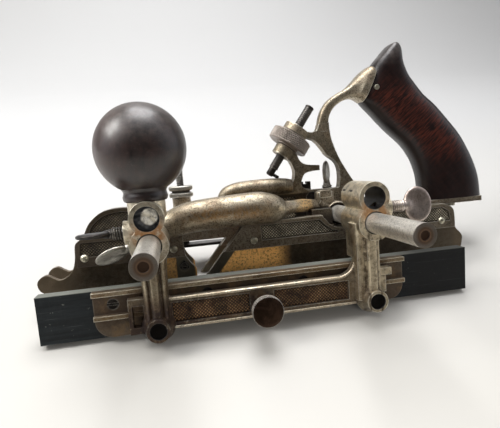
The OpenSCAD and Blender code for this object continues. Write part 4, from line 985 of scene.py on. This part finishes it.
def addFloor(s):
    # a flat floor that rises behind in a quarter circle, a little warmer near the camera
    across, turn = np.linspace(-s["halfWidth"], s["halfWidth"], 3), np.linspace(0, math.pi / 2, 17)
    bend = np.stack([s["start"] + s["radius"] * np.sin(turn), s["radius"] - s["radius"] * np.cos(turn)], 1)
    line = np.concatenate([[[s["front"], 0]], bend, [[s["start"] + s["radius"], s["top"]]]])
    grid = np.stack([np.repeat(across[None], len(line), 0), *np.repeat(line.T[..., None], 3, 2)], -1)
    mesh = bpy.data.meshes.new("floor")
    mesh.from_pydata(grid.reshape(-1, 3), [], gridFaces(len(line), 3, False).tolist())
    mesh.shade_smooth()
    material, tree, shader = startMaterial("paper")
    point = field(tree, "TexCoord", output="Object")
    tone = blend(field(tree, "SeparateXYZ", {0: point}, "Y").ramp(-0.15, 0.3), s["near"], s["far"])
    feed(shader, Base_Color=tone.mix(point.noise(3, 2) * 0.04, s["cloud"]))
    shader.inputs["Roughness"].default_value = 0.55
    mesh.materials.append(material)
    addObject("floor", mesh)


lamps = [  # name, place, aimed at, size, watts, colour, shows in reflections
    ("windowLeft", (-0.8, 0.1, 0.78), (0, 0, 0.05), 0.5, 10, (1, 0.985, 0.95), True),
    ("overhead", (0.05, 0.42, 1), (0, 0, 0), 0.65, 13, (0.99, 0.99, 1), True),
    ("frontFill", (0.2, -1, 0.45), (0, 0, 0.05), 0.4, 3, (1, 0.97, 0.92), False),
]


def addLamp(name, spot, target, size, watts, color, mirrored):
    data = bpy.data.lights.new(name, "AREA")
    data.shape, data.size, data.energy, data.color = "SQUARE", size, watts, color
    lamp = addObject(name, data)
    lamp.visible_glossy = mirrored
    spot, forward, side, up = axisFrame(spot, np.subtract(target, spot))
    lamp.matrix_world = Matrix([*np.stack([-side, up, -forward, spot], 1).tolist(), (0, 0, 0, 1)])


room = {"bright": (0.93, 0.95, 1), "dark": (0.06, 0.055, 0.05), "front": (0.05, -0.97, 0.1), "strength": 1,
        "seen": (0.83, 0.83, 0.82)}


def addRoom(r):
    # a pale room with a dark side to the front, for the metal to show
    world = bpy.data.worlds.new("soft room")
    world.use_nodes = True
    tree = world.node_tree
    background = next(n for n in tree.nodes if n.type == "BACKGROUND")
    front = field(tree, "TexCoord", output="Generated").vector("DOT_PRODUCT", r["front"])
    tone = blend(front.ramp(0.05, 0.7), r["bright"], r["dark"])
    feed(background, Color=tone.mix(field(tree, "LightPath", output="Is Camera Ray"), r["seen"]))
    background.inputs["Strength"].default_value = r["strength"]
    bpy.context.scene.world = world


addCamera(view)
addFloor(sweep)
for lamp in lamps:
    addLamp(*lamp)
addRoom(room)
bpy.context.scene.view_settings.view_transform = "Standard"
print("camera, floor and lights set")
